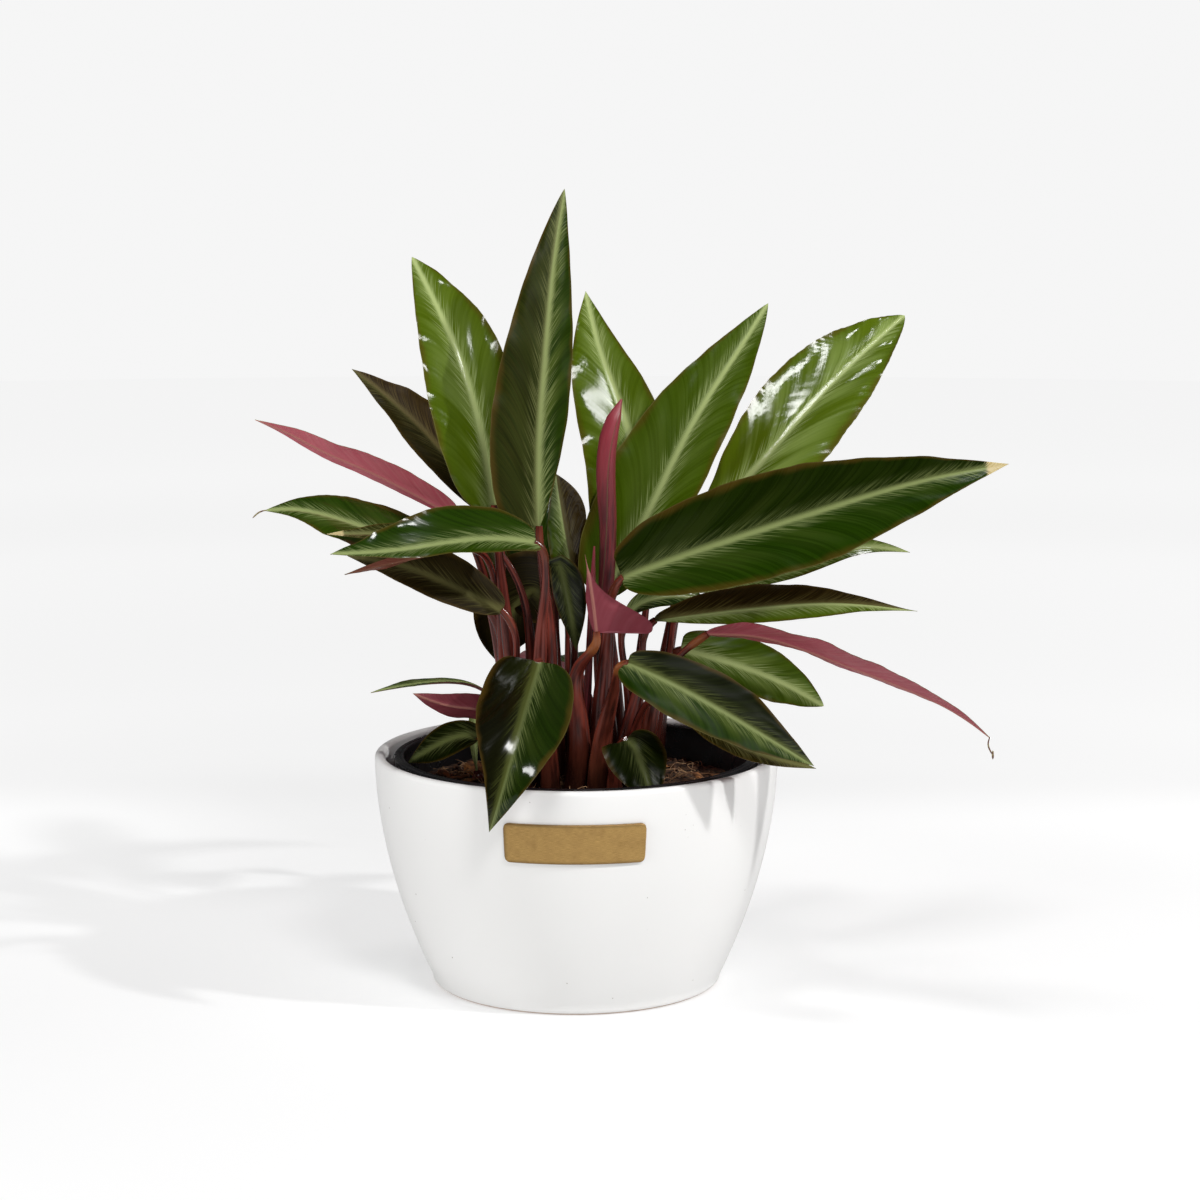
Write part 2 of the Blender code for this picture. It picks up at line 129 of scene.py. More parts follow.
def start_finish(name, colour, roughness, metallic=0.0):
    """A Principled material"""
    made = bpy.data.materials.new(name)
    made.use_nodes = True
    join(made, "Base Color", (*colour, 1.0))
    join(made, "Roughness", roughness)
    join(made, "Metallic", metallic)
    return made


def join(finish, socket, value, node="Principled BSDF"):
    """Gives an input of a node a number, a colour or another node's output"""
    target = finish.node_tree.nodes[node].inputs[socket]
    if isinstance(value, bpy.types.NodeSocket):
        finish.node_tree.links.new(value, target)
    else:
        target.default_value = value


def add(finish, kind, inputs, **settings):
    """One more node of a finish"""
    made = finish.node_tree.nodes.new(kind)
    for name, value in settings.items():
        setattr(made, name, value)
    for socket, value in inputs.items():
        join(finish, socket, value, made.name)
    return made


def sum_up(finish, operation, first, second=0.0, third=0.0):
    """The result of one step of arithmetic on the surface"""
    return add(finish, "ShaderNodeMath", {0: first, 1: second, 2: third}, operation=operation).outputs[0]


def blend(finish, share, first, second):
    """A colour between two colours"""
    return add(finish, "ShaderNodeMix", {0: share, 6: first, 7: second}, data_type="RGBA").outputs[2]


def ease(finish, value, low, high, start=0.0, end=1.0):
    """A soft step of a value from low to high"""
    inputs = {"Value": value, "From Min": low, "From Max": high, "To Min": start, "To Max": end}
    return add(finish, "ShaderNodeMapRange", inputs, interpolation_type="SMOOTHSTEP").outputs[0]


def relief(finish, height, depth, strength=1.0):
    """Bump of a depth in millimetres where the height is one"""
    made = add(finish, "ShaderNodeBump", {"Height": height, "Strength": strength, "Distance": depth * MM})
    join(finish, "Normal", made.outputs[0])


def object_place(finish):
    return add(finish, "ShaderNodeTexCoord", {}).outputs["Object"]


def unrolled_place(finish, name="blade"):
    """The surface's place on one of its UV maps"""
    return add(finish, "ShaderNodeUVMap", {}, uv_map=name).outputs[0]


def axes(finish, place):
    return add(finish, "ShaderNodeSeparateXYZ", {0: place}).outputs


def grain(finish, scale, detail=2.0, place=None):
    """Noise over the surface, at a scale per metre, or per unit of the place that is given"""
    inputs = {"Vector": place or object_place(finish), "Scale": scale, "Detail": detail}
    return add(finish, "ShaderNodeTexNoise", inputs).outputs[0]


glaze = start_finish("white_glaze", (0.8, 0.795, 0.78), 0.3)
speck = add(glaze, "ShaderNodeTexVoronoi", {"Vector": object_place(glaze), "Scale": 230.0})
pinhole = sum_up(glaze, "MULTIPLY", ease(glaze, speck.outputs["Distance"], 0.1, 0.05),
                 ease(glaze, grain(glaze, 90.0), 0.62, 0.66))
cloud = blend(glaze, grain(glaze, 14.0), (0.81, 0.805, 0.79, 1), (0.84, 0.835, 0.825, 1))
join(glaze, "Base Color", blend(glaze, pinhole, cloud, (0.3, 0.27, 0.23, 1)))
join(glaze, "Roughness", ease(glaze, grain(glaze, 25.0), 0.3, 0.7, 0.36, 0.42))
relief(glaze, grain(glaze, 55.0, 1.0), 0.05, 0.25)

# Partly painted shade: the bare foot ring and its lower outer corner are a darkened reddish brown, which also
# paints the thin contact shade along the planter's base
bare_foot_and_contact_shade = start_finish("bare_stoneware_and_contact_shade", (0.62, 0.57, 0.5), 0.85)
earth = blend(bare_foot_and_contact_shade, grain(bare_foot_and_contact_shade, 400.0), (0.4, 0.27, 0.2, 1), (0.58, 0.46, 0.38, 1))
join(bare_foot_and_contact_shade, "Base Color", earth)
relief(bare_foot_and_contact_shade, grain(bare_foot_and_contact_shade, 900.0), 0.1)

outside = [(planter_radius(z), z) for z in np.linspace(3.2, POT_HEIGHT - LIP_RADIUS - 0.4, 44)]
lip_z = POT_HEIGHT - LIP_RADIUS
lip_out = arc((planter_radius(lip_z) - LIP_RADIUS, lip_z), LIP_RADIUS, 10, 90)
lip_in = arc((planter_radius(lip_z) - POT_WALL + LIP_RADIUS, lip_z), LIP_RADIUS, 90, 180)
inside = [(planter_radius(z) - POT_WALL, z) for z in np.linspace(lip_z - 1.0, 14, 30)]
foot = [(0.0, FOOT_RECESS), (52.0, FOOT_RECESS), *arc((53.5, 0.8), 0.8, 180, 270, 4),
        *arc((planter_radius(3) - 2.8, 2.8), 2.8, 270, 352)]
floor = [(planter_radius(9) - POT_WALL - 2, 7.6), (planter_radius(6) - POT_WALL - 5, POT_FLOOR),
         (0.0, POT_FLOOR)]
points, faces = turned([*foot, *outside, *lip_out, *lip_in, *inside, *floor])
planter = make_piece("planter_glazed", points, faces, (glaze, bare_foot_and_contact_shade), ("planter",))
for face in planter.data.polygons:
    face.material_index = int(face.center.z < (FOOT_RECESS - 0.1) * MM)


# ---- nursery pot
# The thin injection-moulded pot that the plant was grown in. It stands loose on the planter's floor. Its
# rim is a flat collar turned down outside, with a shallow groove beside its rounded inner edge.

NURSERY_BASE = 56.0
NURSERY_TOP = 78.0
COLLAR_RADIUS = 81.0
COLLAR_Z = 102.0
COLLAR_FOOT = 95.0
NURSERY_WALL = 1.4


def nursery_radius(z):
    return NURSERY_BASE + (NURSERY_TOP - NURSERY_BASE) * (z - POT_FLOOR) / (COLLAR_Z - POT_FLOOR)


black_plastic = start_finish("moulded_plastic", (0.012, 0.012, 0.013), 0.24)
dust = ease(black_plastic, grain(black_plastic, 70.0, 5.0), 0.5, 0.8)
dusty = blend(black_plastic, dust, (0.005, 0.005, 0.006, 1), (0.018, 0.017, 0.016, 1))
join(black_plastic, "Base Color", dusty)
join(black_plastic, "Roughness", ease(black_plastic, grain(black_plastic, 120.0), 0.3, 0.7, 0.2, 0.42))
relief(black_plastic, grain(black_plastic, 700.0), 0.04, 0.6)

inner = nursery_radius(COLLAR_Z) - NURSERY_WALL
base_z = POT_FLOOR + CLEARANCE
profile = [(0.0, base_z), *arc((nursery_radius(base_z) - 2, base_z + 2), 2.0, 270, 355, 6),
           *[(nursery_radius(z), z) for z in np.linspace(12, COLLAR_FOOT - 0.4, 10)],
           (nursery_radius(COLLAR_FOOT), COLLAR_FOOT), (COLLAR_RADIUS - 1.6, COLLAR_FOOT),
           (COLLAR_RADIUS - 0.9, COLLAR_FOOT + 0.3), (COLLAR_RADIUS - 0.5, COLLAR_FOOT + 2.5),
           *arc((COLLAR_RADIUS - 1.1, COLLAR_Z - 1.1), 1.1, 5, 90, 6), (inner + 2.2, COLLAR_Z - 0.05),
           (inner + 1.9, COLLAR_Z - 0.5), (inner + 1.5, COLLAR_Z - 0.55),
           *arc((inner + 0.7, COLLAR_Z - 0.7), 0.7, 60, 180, 7), (inner - 0.1, 99.0), (inner - 0.8, 96.6),
           *[(nursery_radius(z) - NURSERY_WALL, z) for z in np.linspace(COLLAR_FOOT, 12, 10)],
           (nursery_radius(8) - NURSERY_WALL - 2.5, base_z + NURSERY_WALL + 0.1),
           (0.0, base_z + NURSERY_WALL)]
points, faces = turned(profile)
make_piece("nursery_pot_moulded", points, faces, (black_plastic,), ("nursery_pot",))


# ---- potting mix
# Coco coir with composted bark. It lies crumbly and a little uneven well below the collar, with loose
# fibres and flat chips of bark on top, and stays in the nursery pot as one root ball.

SOIL_Z = 88.0
SOIL_SEED = 5
CRUMBS, CHIPS, FIBRES = 520, 90, 420


def blob(middle, size, steps=(10, 7), rough=0.25, tilt=0.0, seed=0):
    """Points and faces of one crumb or chip: a closed lumpy ball, squashed to its size"""
    around, rows = steps
    turn = random.Random(seed)
    spin, lean = turn.uniform(0, 2 * math.pi), tilt * turn.uniform(-1, 1)
    profile = [(math.sin(math.pi * k / rows) if 0 < k < rows else 0.0, -math.cos(math.pi * k / rows))
               for k in range(rows + 1)]
    points, faces = turned(profile, around)
    made = []
    for x, y, z in points:
        bump = 1 + rough * noise.noise(Vector((x * 1.7 + seed, y * 1.7, z * 1.7)))
        x, y, z = (v * bump * s for v, s in zip((x, y, z), size))
        z += lean * x
        made.append((middle[0] + x * math.cos(spin) - y * math.sin(spin),
                     middle[1] + x * math.sin(spin) + y * math.cos(spin), middle[2] + z))
    return made, faces


def strand(route, radius, sides=5, tip=0.4):
    """Points and faces of a closed thin tube through the route's points"""
    route, points = [Vector(spot) for spot in route], []
    side = Vector((0.3, 0.2, 1.0))
    for k, spot in enumerate(route):
        way = (route[min(k + 1, len(route) - 1)] - route[max(k - 1, 0)]).normalized()
        side = (side - way * side.dot(way)).normalized()
        other = way.cross(side)
        share = k / (len(route) - 1)
        r = radius * (tip + (1 - tip) * math.sin(math.pi * share) ** 0.5)
        points += [tuple(spot + r * (side * math.cos(t) + other * math.sin(t)))
                   for t in (2 * math.pi * n / sides for n in range(sides))]
    ends = [tuple(range(sides))[::-1], tuple(range(len(points) - sides, len(points)))]
    return points, tube_faces(len(route), sides) + ends


def tube_faces(rows, sides):
    """Faces of a tube's wall, its points lying in rings from one end to the other"""
    rings = [(k * sides + n, k * sides + (n + 1) % sides) for k in range(rows - 1) for n in range(sides)]
    return [(a, b, b + sides, a + sides) for a, b in rings]


def gathered(parts):
    """Several closed bodies as one list of points and one of faces, and which body each face is of"""
    points, faces, owner = [], [], []
    for number, (spots, sides) in enumerate(parts):
        faces += [tuple(k + len(points) for k in face) for face in sides]
        owner += [number] * len(sides)
        points += spots
    return points, faces, owner


def soil_height(x, y):
    """Height of the loose surface: fine roughness, and a mound round the crown"""
    rough = noise.fractal(Vector((x * 0.09, y * 0.09, 1.7)), 0.9, 2.1, 5)
    mound = 2.2 * math.exp(-(x * x + y * y) / 900)
    return SOIL_Z - 0.6 + 1.5 * rough + mound


coir = start_finish("coir_and_bark", (0.06, 0.035, 0.02), 0.95)
crumb = grain(coir, 420.0, 6.0)
earth = blend(coir, ease(coir, crumb, 0.35, 0.68), (0.014, 0.007, 0.004, 1), (0.13, 0.062, 0.028, 1))
join(coir, "Base Color", earth)
relief(coir, crumb, 1.2)

bark = start_finish("bark_chips", (0.16, 0.075, 0.03), 0.8)
flake = grain(bark, 260.0, 5.0)
woody = blend(bark, ease(bark, flake, 0.3, 0.7), (0.08, 0.03, 0.01, 1), (0.42, 0.17, 0.05, 1))
join(bark, "Base Color", woody)
relief(bark, flake, 0.5)

fibre = start_finish("coir_fibres", (0.28, 0.17, 0.08), 0.7)
faded = blend(fibre, ease(fibre, grain(fibre, 90.0), 0.3, 0.7), (0.16, 0.07, 0.03, 1), (0.55, 0.33, 0.17, 1))
join(fibre, "Base Color", faded)

edge = nursery_radius(SOIL_Z) - NURSERY_WALL - 0.35
profile = [(0.0, 8.2), (nursery_radius(9) - 3.2, 8.2), (nursery_radius(40) - NURSERY_WALL - 0.5, 40.0),
           *[(edge * r, SOIL_Z) for r in np.linspace(0, 1, 72)[::-1]]]
bed, faces = turned(profile, 200)
bed = [(x, y, z if z < SOIL_Z - 1 else min(soil_height(x, y), SOIL_Z + 2.6)) for x, y, z in bed]
pick = random.Random(SOIL_SEED)
crumbs, chips, fibres = [], [], []
for number in range(CRUMBS):
    r, t = edge * math.sqrt(pick.random()) * 0.98, pick.uniform(0, 2 * math.pi)
    x, y = r * math.cos(t), r * math.sin(t)
    size = pick.uniform(0.5, 1.7)
    place, shape = (x, y, soil_height(x, y) + size * 0.3), (size * 1.2, size, size * 0.8)
    crumbs.append(blob(place, shape, (7, 5), 0.6, 0.2, number))
for number in range(CHIPS):
    r, t = (edge - 5) * math.sqrt(pick.random()), pick.uniform(0, 2 * math.pi)
    x, y = r * math.cos(t), r * math.sin(t)
    size = pick.uniform(1.6, 4.2)
    place, shape = (x, y, soil_height(x, y) + 0.9), (size * 1.5, size * 0.8, pick.uniform(0.5, 1.0))
    chips.append(blob(place, shape, (9, 6), 0.5, 0.3, 900 + number))
chips.append(blob((-46, 22, SOIL_Z + 1.8), (9.5, 5.0, 2.4), (16, 10), 0.5, 0.2, 77))
chips.append(blob((-60, 12, SOIL_Z + 1.5), (4.6, 2.6, 1.4), (14, 9), 0.5, 0.2, 78))
for number in range(FIBRES):
    r, t = (edge - 3) * math.sqrt(pick.random()), pick.uniform(0, 2 * math.pi)
    x, y, heading = r * math.cos(t), r * math.sin(t), pick.uniform(0, 2 * math.pi)
    curl, length, lift = pick.uniform(-0.5, 0.5), pick.uniform(0.9, 2.6), pick.uniform(0.4, 2.6)
    route = []
    for k in range(8):
        if math.hypot(x, y) > edge - 0.8:
            break
        route.append((x, y, soil_height(x, y) + 0.4 + lift * math.sin(math.pi * k / 7)))
        heading += curl + pick.uniform(-0.2, 0.2)
        x, y = x + length * math.cos(heading), y + length * math.sin(heading)
    if len(route) > 3:
        fibres.append(strand(route, pick.uniform(0.1, 0.26)))
route = [(40 + 1.89 * k, -6 - 0.5 * k, SOIL_Z + 1.5 + 5 * math.sin(math.pi * k / 11)) for k in range(12)]
fibres.append(strand(route, 0.28))
points, faces, owner = gathered([(bed, faces), *crumbs, *chips, *fibres])
soil = make_piece("potting_mix", points, faces, (coir, bark, fibre), ("soil",))
for face, number in zip(soil.data.polygons, owner):
    face.material_index = int(number > len(crumbs)) + int(number > len(crumbs) + len(chips))


# ---- brass plate
# A small stamped plate of antiqued brass, glued to the front of the planter and bent to its wall. The
# face is brushed lengthwise and left bare, and dark patina stays along its rounded edge.

PLATE_LENGTH = 60.0
PLATE_HEIGHT = 17.2
PLATE_Z = 80.6
PLATE_THICKNESS = 1.1
PLATE_CORNER = 2.5

brass = start_finish("antique_brass", (0.56, 0.35, 0.12), 0.36, 0.6)
plate_map = unrolled_place(brass, "plate")
long_grain = add(brass, "ShaderNodeMapping", {"Vector": plate_map, "Scale": (1.2, 60.0, 1.0)}).outputs[0]
brushed = grain(brass, 6.0, 6.0, long_grain)
patina = grain(brass, 3.0, 4.0, plate_map)
off_x, off_z = (sum_up(brass, "ABSOLUTE", sum_up(brass, "SUBTRACT", way, half))
                for way, half in zip(axes(brass, plate_map), (1.82, 0.5)))
rim_share = sum_up(brass, "MAXIMUM", ease(brass, off_x, 1.7, 1.82), ease(brass, off_z, 0.4, 0.5))
tone = blend(brass, ease(brass, brushed, 0.3, 0.7), (0.36, 0.21, 0.06, 1), (0.66, 0.42, 0.15, 1))
tone = blend(brass, ease(brass, patina, 0.4, 0.8, 0.0, 0.3), tone, (0.24, 0.13, 0.04, 1))
tone = blend(brass, sum_up(brass, "MULTIPLY", rim_share, 0.6), tone, (0.13, 0.075, 0.03, 1))
join(brass, "Base Color", tone)
join(brass, "Roughness", ease(brass, brushed, 0.3, 0.7, 0.34, 0.5))
relief(brass, brushed, 0.06)


def on_wall(x, z, out):
    """A spot of the plate, wrapped on the planter's wall"""
    radius = planter_radius(PLATE_Z + z) + CLEARANCE + PLATE_THICKNESS * out
    turn = x / planter_radius(PLATE_Z)
    return radius * math.sin(turn), -radius * math.cos(turn), PLATE_Z + z


def inside_edge(x, z):
    """How far inside the plate's rounded outline a spot is"""
    past_x = abs(x) - (PLATE_LENGTH / 2 - PLATE_CORNER)
    past_z = abs(z) - (PLATE_HEIGHT / 2 - PLATE_CORNER)
    if past_x > 0 and past_z > 0:
        return PLATE_CORNER - math.hypot(past_x, past_z)
    return PLATE_CORNER - max(past_x, past_z)


def plate_face(x, z):
    """Height of the stamped face: a rounded edge and a shallow sunk field"""
    inside = max(inside_edge(x, z), 0.0)
    edge = 0.45 + 0.55 * math.sqrt(1 - (1 - min(inside / 0.7, 1.0)) ** 2)
    return edge - 0.05 * min(max((inside - 1.1) / 0.4, 0.0), 1.0)


def sheet_faces(rows, wide):
    """Faces of a closed sheet whose points lie in rows: one side, then the other side, then the edge"""
    shift = rows * wide
    first = [(a, a + 1, a + wide + 1, a + wide) for a in range(shift - wide) if a % wide < wide - 1]
    other = [tuple(k + shift for k in face[::-1]) for face in first]
    loop = [*range(wide), *range(2 * wide - 1, shift, wide), *range(shift - 2, shift - wide - 1, -1),
            *range(shift - 2 * wide, 0, -wide)]
    edge = [(b, a, a + shift, b + shift) for a, b in zip(loop, loop[1:] + loop[:1])]
    return first + other + edge


COLUMNS = 95
STRIPS = np.sin(np.linspace(-0.5, 0.5, 33) * math.pi)
front, back = [], []
for t in np.linspace(-1, 1, COLUMNS):
    x = PLATE_LENGTH / 2 * (0.75 * t + 0.25 * math.sin(t * math.pi / 2))
    past = max(abs(x) - (PLATE_LENGTH / 2 - PLATE_CORNER), 0.0)
    rise = PLATE_HEIGHT / 2 - PLATE_CORNER + math.sqrt(max(PLATE_CORNER ** 2 - past ** 2, 0.0))
    front += [(x, rise * t, plate_face(x, rise * t)) for t in STRIPS]
    back += [(x, rise * t, 0.0) for t in STRIPS]
flat = back + front
faces = sheet_faces(COLUMNS, len(STRIPS))
points = [on_wall(*spot) for spot in flat]
plate = make_piece("brass_plate", points, faces, (brass,), ("label_plate",))
unrolled = plate.data.uv_layers.new(name="plate")
for corner, loop in zip(unrolled.data, plate.data.loops):
    x, z, _ = flat[loop.vertex_index]
    corner.uv = ((x + PLATE_LENGTH / 2) / PLATE_HEIGHT, (z + PLATE_HEIGHT / 2) / PLATE_HEIGHT)


# ---- leaf blades
# Long feathered blades, thin and leathery, each on a stalk of its own. A blade has a grooved midrib with
# fine veins swept forward from it, pale feathering on the upper side and a wine-red underside. It
# unrolls from one side, so its two halves are never quite alike.

VEIN_SLANT = 2.7
BLADE_ROWS = 92
ACROSS = np.sin(np.linspace(-0.5, 0.5, 27) * math.pi) * 0.35 + np.linspace(-1, 1, 27) * 0.65


def unit(vector):
    return vector / max(np.linalg.norm(vector), 1e-9)


def curve_through(points, spots=400):
    """Many spots on a natural cubic curve through the points"""
    points = np.array(points, float)
    steps = np.linalg.norm(np.diff(points, axis=0), axis=1)
    knots = np.concatenate([[0.0], np.cumsum(steps)])
    last = len(points) - 1
    left, right = np.eye(last + 1), np.zeros((last + 1, 3))
    for i in range(1, last):
        left[i, i - 1:i + 2] = steps[i - 1], 2 * (steps[i - 1] + steps[i]), steps[i]
        right[i] = 6 * ((points[i + 1] - points[i]) / steps[i] - (points[i] - points[i - 1]) / steps[i - 1])
    bend = np.linalg.solve(left, right)
    fine = []
    for place in np.linspace(0, knots[-1], spots):
        i = min(max(int(np.searchsorted(knots, place)) - 1, 0), last - 1)
        a, b, step = place - knots[i], knots[i + 1] - place, steps[i]
        fine.append((bend[i] * b ** 3 + bend[i + 1] * a ** 3) / (6 * step)
                    + (points[i] / step - bend[i] * step / 6) * b
                    + (points[i + 1] / step - bend[i + 1] * step / 6) * a)
    return np.array(fine)


def stations_along(points, places):
    """Spots at the given shares of the curve's length, the way it runs there, and its length"""
    fine = curve_through(points)
    run = np.concatenate([[0.0], np.cumsum(np.linalg.norm(np.diff(fine, axis=0), axis=1))])
    ways = np.array([unit(step) for step in np.gradient(fine, axis=0)])
    want = np.array(places) * run[-1]
    line = np.stack([np.interp(want, run, fine[:, k]) for k in range(3)], axis=1)
    ahead = np.stack([np.interp(want, run, ways[:, k]) for k in range(3)], axis=1)
    return line, np.array([unit(way) for way in ahead]), run[-1]


def half_width(place, belly, blunt, point):
    """Share of the half width at a place from base (0) to tip (1), widest at belly"""
    swell = math.sin(math.pi * place ** (math.log(0.5) / math.log(belly)))
    return max(swell, 0.0) ** (blunt if place < belly else point)


def wander(*where):
    """Smooth noise between -1 and 1"""
    return noise.noise(Vector((*where, 0.0, 0.0)[:3]))


def add_layers(mesh, name_to_values, uv):
    """Per-point values of a mesh as attributes, and its UV map, for the finish to read"""
    for name, values in name_to_values.items():
        if np.ndim(values[0]):
            colours = mesh.color_attributes.new(name, "FLOAT_COLOR", "POINT")
            colours.data.foreach_set("color", np.ravel(values))
        else:
            mesh.attributes.new(name, "FLOAT", "POINT").data.foreach_set("value", values)
    corners = np.empty(len(mesh.loops), int)
    mesh.loops.foreach_get("vertex_index", corners)
    mesh.uv_layers.new(name="blade").data.foreach_set("uv", np.asarray(uv, float)[corners].ravel())


def layer(finish, name):
    """What a finish reads of one of the mesh's own layers"""
    return add(finish, "ShaderNodeAttribute", {}, attribute_name=name).outputs


def mood_parts(finish):
    return add(finish, "ShaderNodeSeparateColor", {0: layer(finish, "mood")["Color"]}).outputs


def vein_finish(name, roughness):
    """A leaf finish and what its nodes read: distance along the veins and out from the midrib in
    millimetres, share of the way out and along, and the leaf's mood: its tone, which is painted light and
    shade, its pale feathering, its brown, partly own tint and partly painted shade, and its dried tip"""
    made = start_finish(name, (0.05, 0.1, 0.02), roughness)
    across, along, _ = axes(made, unrolled_place(made))
    out_share = sum_up(made, "ABSOLUTE", sum_up(made, "MULTIPLY_ADD", across, 2.0, -1.0))
    vein, off = (layer(made, part)["Fac"] for part in ("vein", "off"))
    tone, pale, brown = mood_parts(made)
    return made, dict(out=out_share, along=along, vein=vein, off=off, tone=tone, pale=pale, brown=brown,
                      dry=layer(made, "mood")["Alpha"])


def vein_noise(finish, read, length, reach, detail=2.0):
    """Noise stretched along the veins: length is its size across them and reach along them, in mm"""
    across = sum_up(finish, "DIVIDE", read["vein"], length)
    outward = sum_up(finish, "DIVIDE", read["off"], reach)
    where = add(finish, "ShaderNodeCombineXYZ", {0: across, 1: outward}).outputs[0]
    return grain(finish, 1.0, detail, where)


upper_side, read = vein_finish("leaf_upper_side", 0.2)
finish = upper_side
fringe = vein_noise(finish, read, 0.7, 9.0, 2.0)
streak = vein_noise(finish, read, 2.4, 40.0, 3.0)
band = vein_noise(finish, read, 15.0, 34.0, 1.0)
from_rib = sum_up(finish, "ABSOLUTE", read["off"])
slim = sum_up(finish, "MULTIPLY_ADD", read["along"], -0.55, 1.25)
spread = sum_up(finish, "DIVIDE", from_rib, slim)
core = sum_up(finish, "MULTIPLY_ADD", fringe, 5.0, sum_up(finish, "SUBTRACT", spread, 2.5))
core = ease(finish, core, 2.4, 0.4)
hair = sum_up(finish, "MULTIPLY", ease(finish, fringe, 0.47, 0.66, 0.0, 0.75), ease(finish, spread, 7.5, 1.2))
wide = sum_up(finish, "MULTIPLY", ease(finish, sum_up(finish, "MULTIPLY_ADD", streak, 0.3, band), 0.52, 0.8),
              ease(finish, read["out"], 0.98, 0.25))
wide = sum_up(finish, "MULTIPLY", wide, read["pale"])
pale = sum_up(finish, "MAXIMUM", core, hair)
# Painted light and shade: each half's tone runs from a near-black painted shade at 0, through mid green, to a
# brightly lit green at 1, and the feather, band and margin colours follow it
leaf_light_stalk_green = ease(finish, read["tone"], 0.5, 1.0)
out_of_painted_shade = ease(finish, read["tone"], 0.0, 0.5)
deep = blend(finish, out_of_painted_shade, (0.002, 0.0018, 0.0001, 1), (0.0065, 0.018, 0.0001, 1))
deep = blend(finish, leaf_light_stalk_green, deep, (0.062, 0.1, 0.002, 1))
lighter = blend(finish, out_of_painted_shade, (0.005, 0.0055, 0.0003, 1), (0.015, 0.042, 0.0002, 1))
lighter = blend(finish, leaf_light_stalk_green, lighter, (0.092, 0.14, 0.005, 1))
leafy = blend(finish, ease(finish, streak, 0.3, 0.7, 0.15, 0.65), deep, lighter)
banded = blend(finish, out_of_painted_shade, (0.018, 0.021, 0.004, 1), (0.055, 0.08, 0.012, 1))
banded = blend(finish, leaf_light_stalk_green, banded, (0.19, 0.26, 0.06, 1))
leafy = blend(finish, wide, leafy, banded)
bright = blend(finish, read["tone"], (0.045, 0.052, 0.01, 1), (0.42, 0.5, 0.2, 1))
leafy = blend(finish, sum_up(finish, "MULTIPLY", pale, 0.95), leafy, bright)
# Brown share: partly the leaf's own olive-brown tint, partly painted shade, set high on leaves and halves
# that lie in shadow
tan = blend(finish, ease(finish, fringe, 0.3, 0.7), (0.018, 0.009, 0.002, 1), (0.05, 0.03, 0.006, 1))
tan = blend(finish, pale, tan, (0.11, 0.085, 0.03, 1))
leafy = blend(finish, read["brown"], leafy, tan)
ruddy = ease(finish, sum_up(finish, "MULTIPLY_ADD", band, 0.3, read["out"]), 0.98, 1.16, 0.0, 0.6)
leafy = blend(finish, ruddy, leafy, (0.07, 0.04, 0.006, 1))
edge = ease(finish, read["out"], 0.975, 0.99, 0.0, 0.35)
leafy = blend(finish, edge, leafy, blend(finish, read["tone"], (0.07, 0.05, 0.015, 1), (0.2, 0.19, 0.06, 1)))
straw = blend(finish, ease(finish, fringe, 0.3, 0.7), (0.4, 0.3, 0.12, 1), (0.55, 0.47, 0.27, 1))
worn = sum_up(finish, "MULTIPLY_ADD", fringe, 0.5, sum_up(finish, "SUBTRACT", read["dry"], 0.25))
join(finish, "Base Color", blend(finish, ease(finish, worn, 0.4, 0.6), leafy, straw))
matte = layer(finish, "matte")["Fac"]
join(finish, "Roughness", sum_up(finish, "ADD", ease(finish, streak, 0.3, 0.7, 0.1, 0.17), matte))
relief(finish, sum_up(finish, "MULTIPLY_ADD", fringe, 0.1, streak), 0.05, 0.5)
join(finish, "Specular IOR Level", 0.34)
dull_side = upper_side.copy()
dull_side.name = "leaf_upper_side_dull"
join(dull_side, "Specular IOR Level", 0.09)

under_side, read = vein_finish("leaf_underside", 0.42)
finish = under_side
streak = vein_noise(finish, read, 5.0, 30.0, 2.0)
fringe = vein_noise(finish, read, 0.8, 12.0, 2.0)
# Painted light and shade: the tone darkens the wine red of an underside lying in shadow and lightens a lit
# one to rosy pink
wine = blend(finish, read["tone"], (0.03, 0.0025, 0.004, 1), (0.38, 0.05, 0.075, 1))
rosy = blend(finish, read["tone"], (0.05, 0.006, 0.009, 1), (0.58, 0.15, 0.19, 1))
wine = blend(finish, ease(finish, streak, 0.25, 0.85, 0.2, 0.6), wine, rosy)
feathered = sum_up(finish, "MULTIPLY", read["pale"], ease(finish, fringe, 0.35, 0.7))
wine = blend(finish, feathered, wine, (0.4, 0.2, 0.18, 1))
rib = ease(finish, sum_up(finish, "ABSOLUTE", read["off"]), 0.9, 0.5)
wine = blend(finish, sum_up(finish, "MULTIPLY", rib, 0.6), wine, (0.36, 0.16, 0.12, 1))
# Brown share: partly the underside's own orange-brown, partly painted shade
wine = blend(finish, read["brown"], wine, blend(finish, streak, (0.06, 0.022, 0.004, 1), (0.2, 0.1, 0.02, 1)))
join(finish, "Base Color", wine)
join(finish, "Specular IOR Level", 0.25)
relief(finish, streak, 0.12, 0.6)


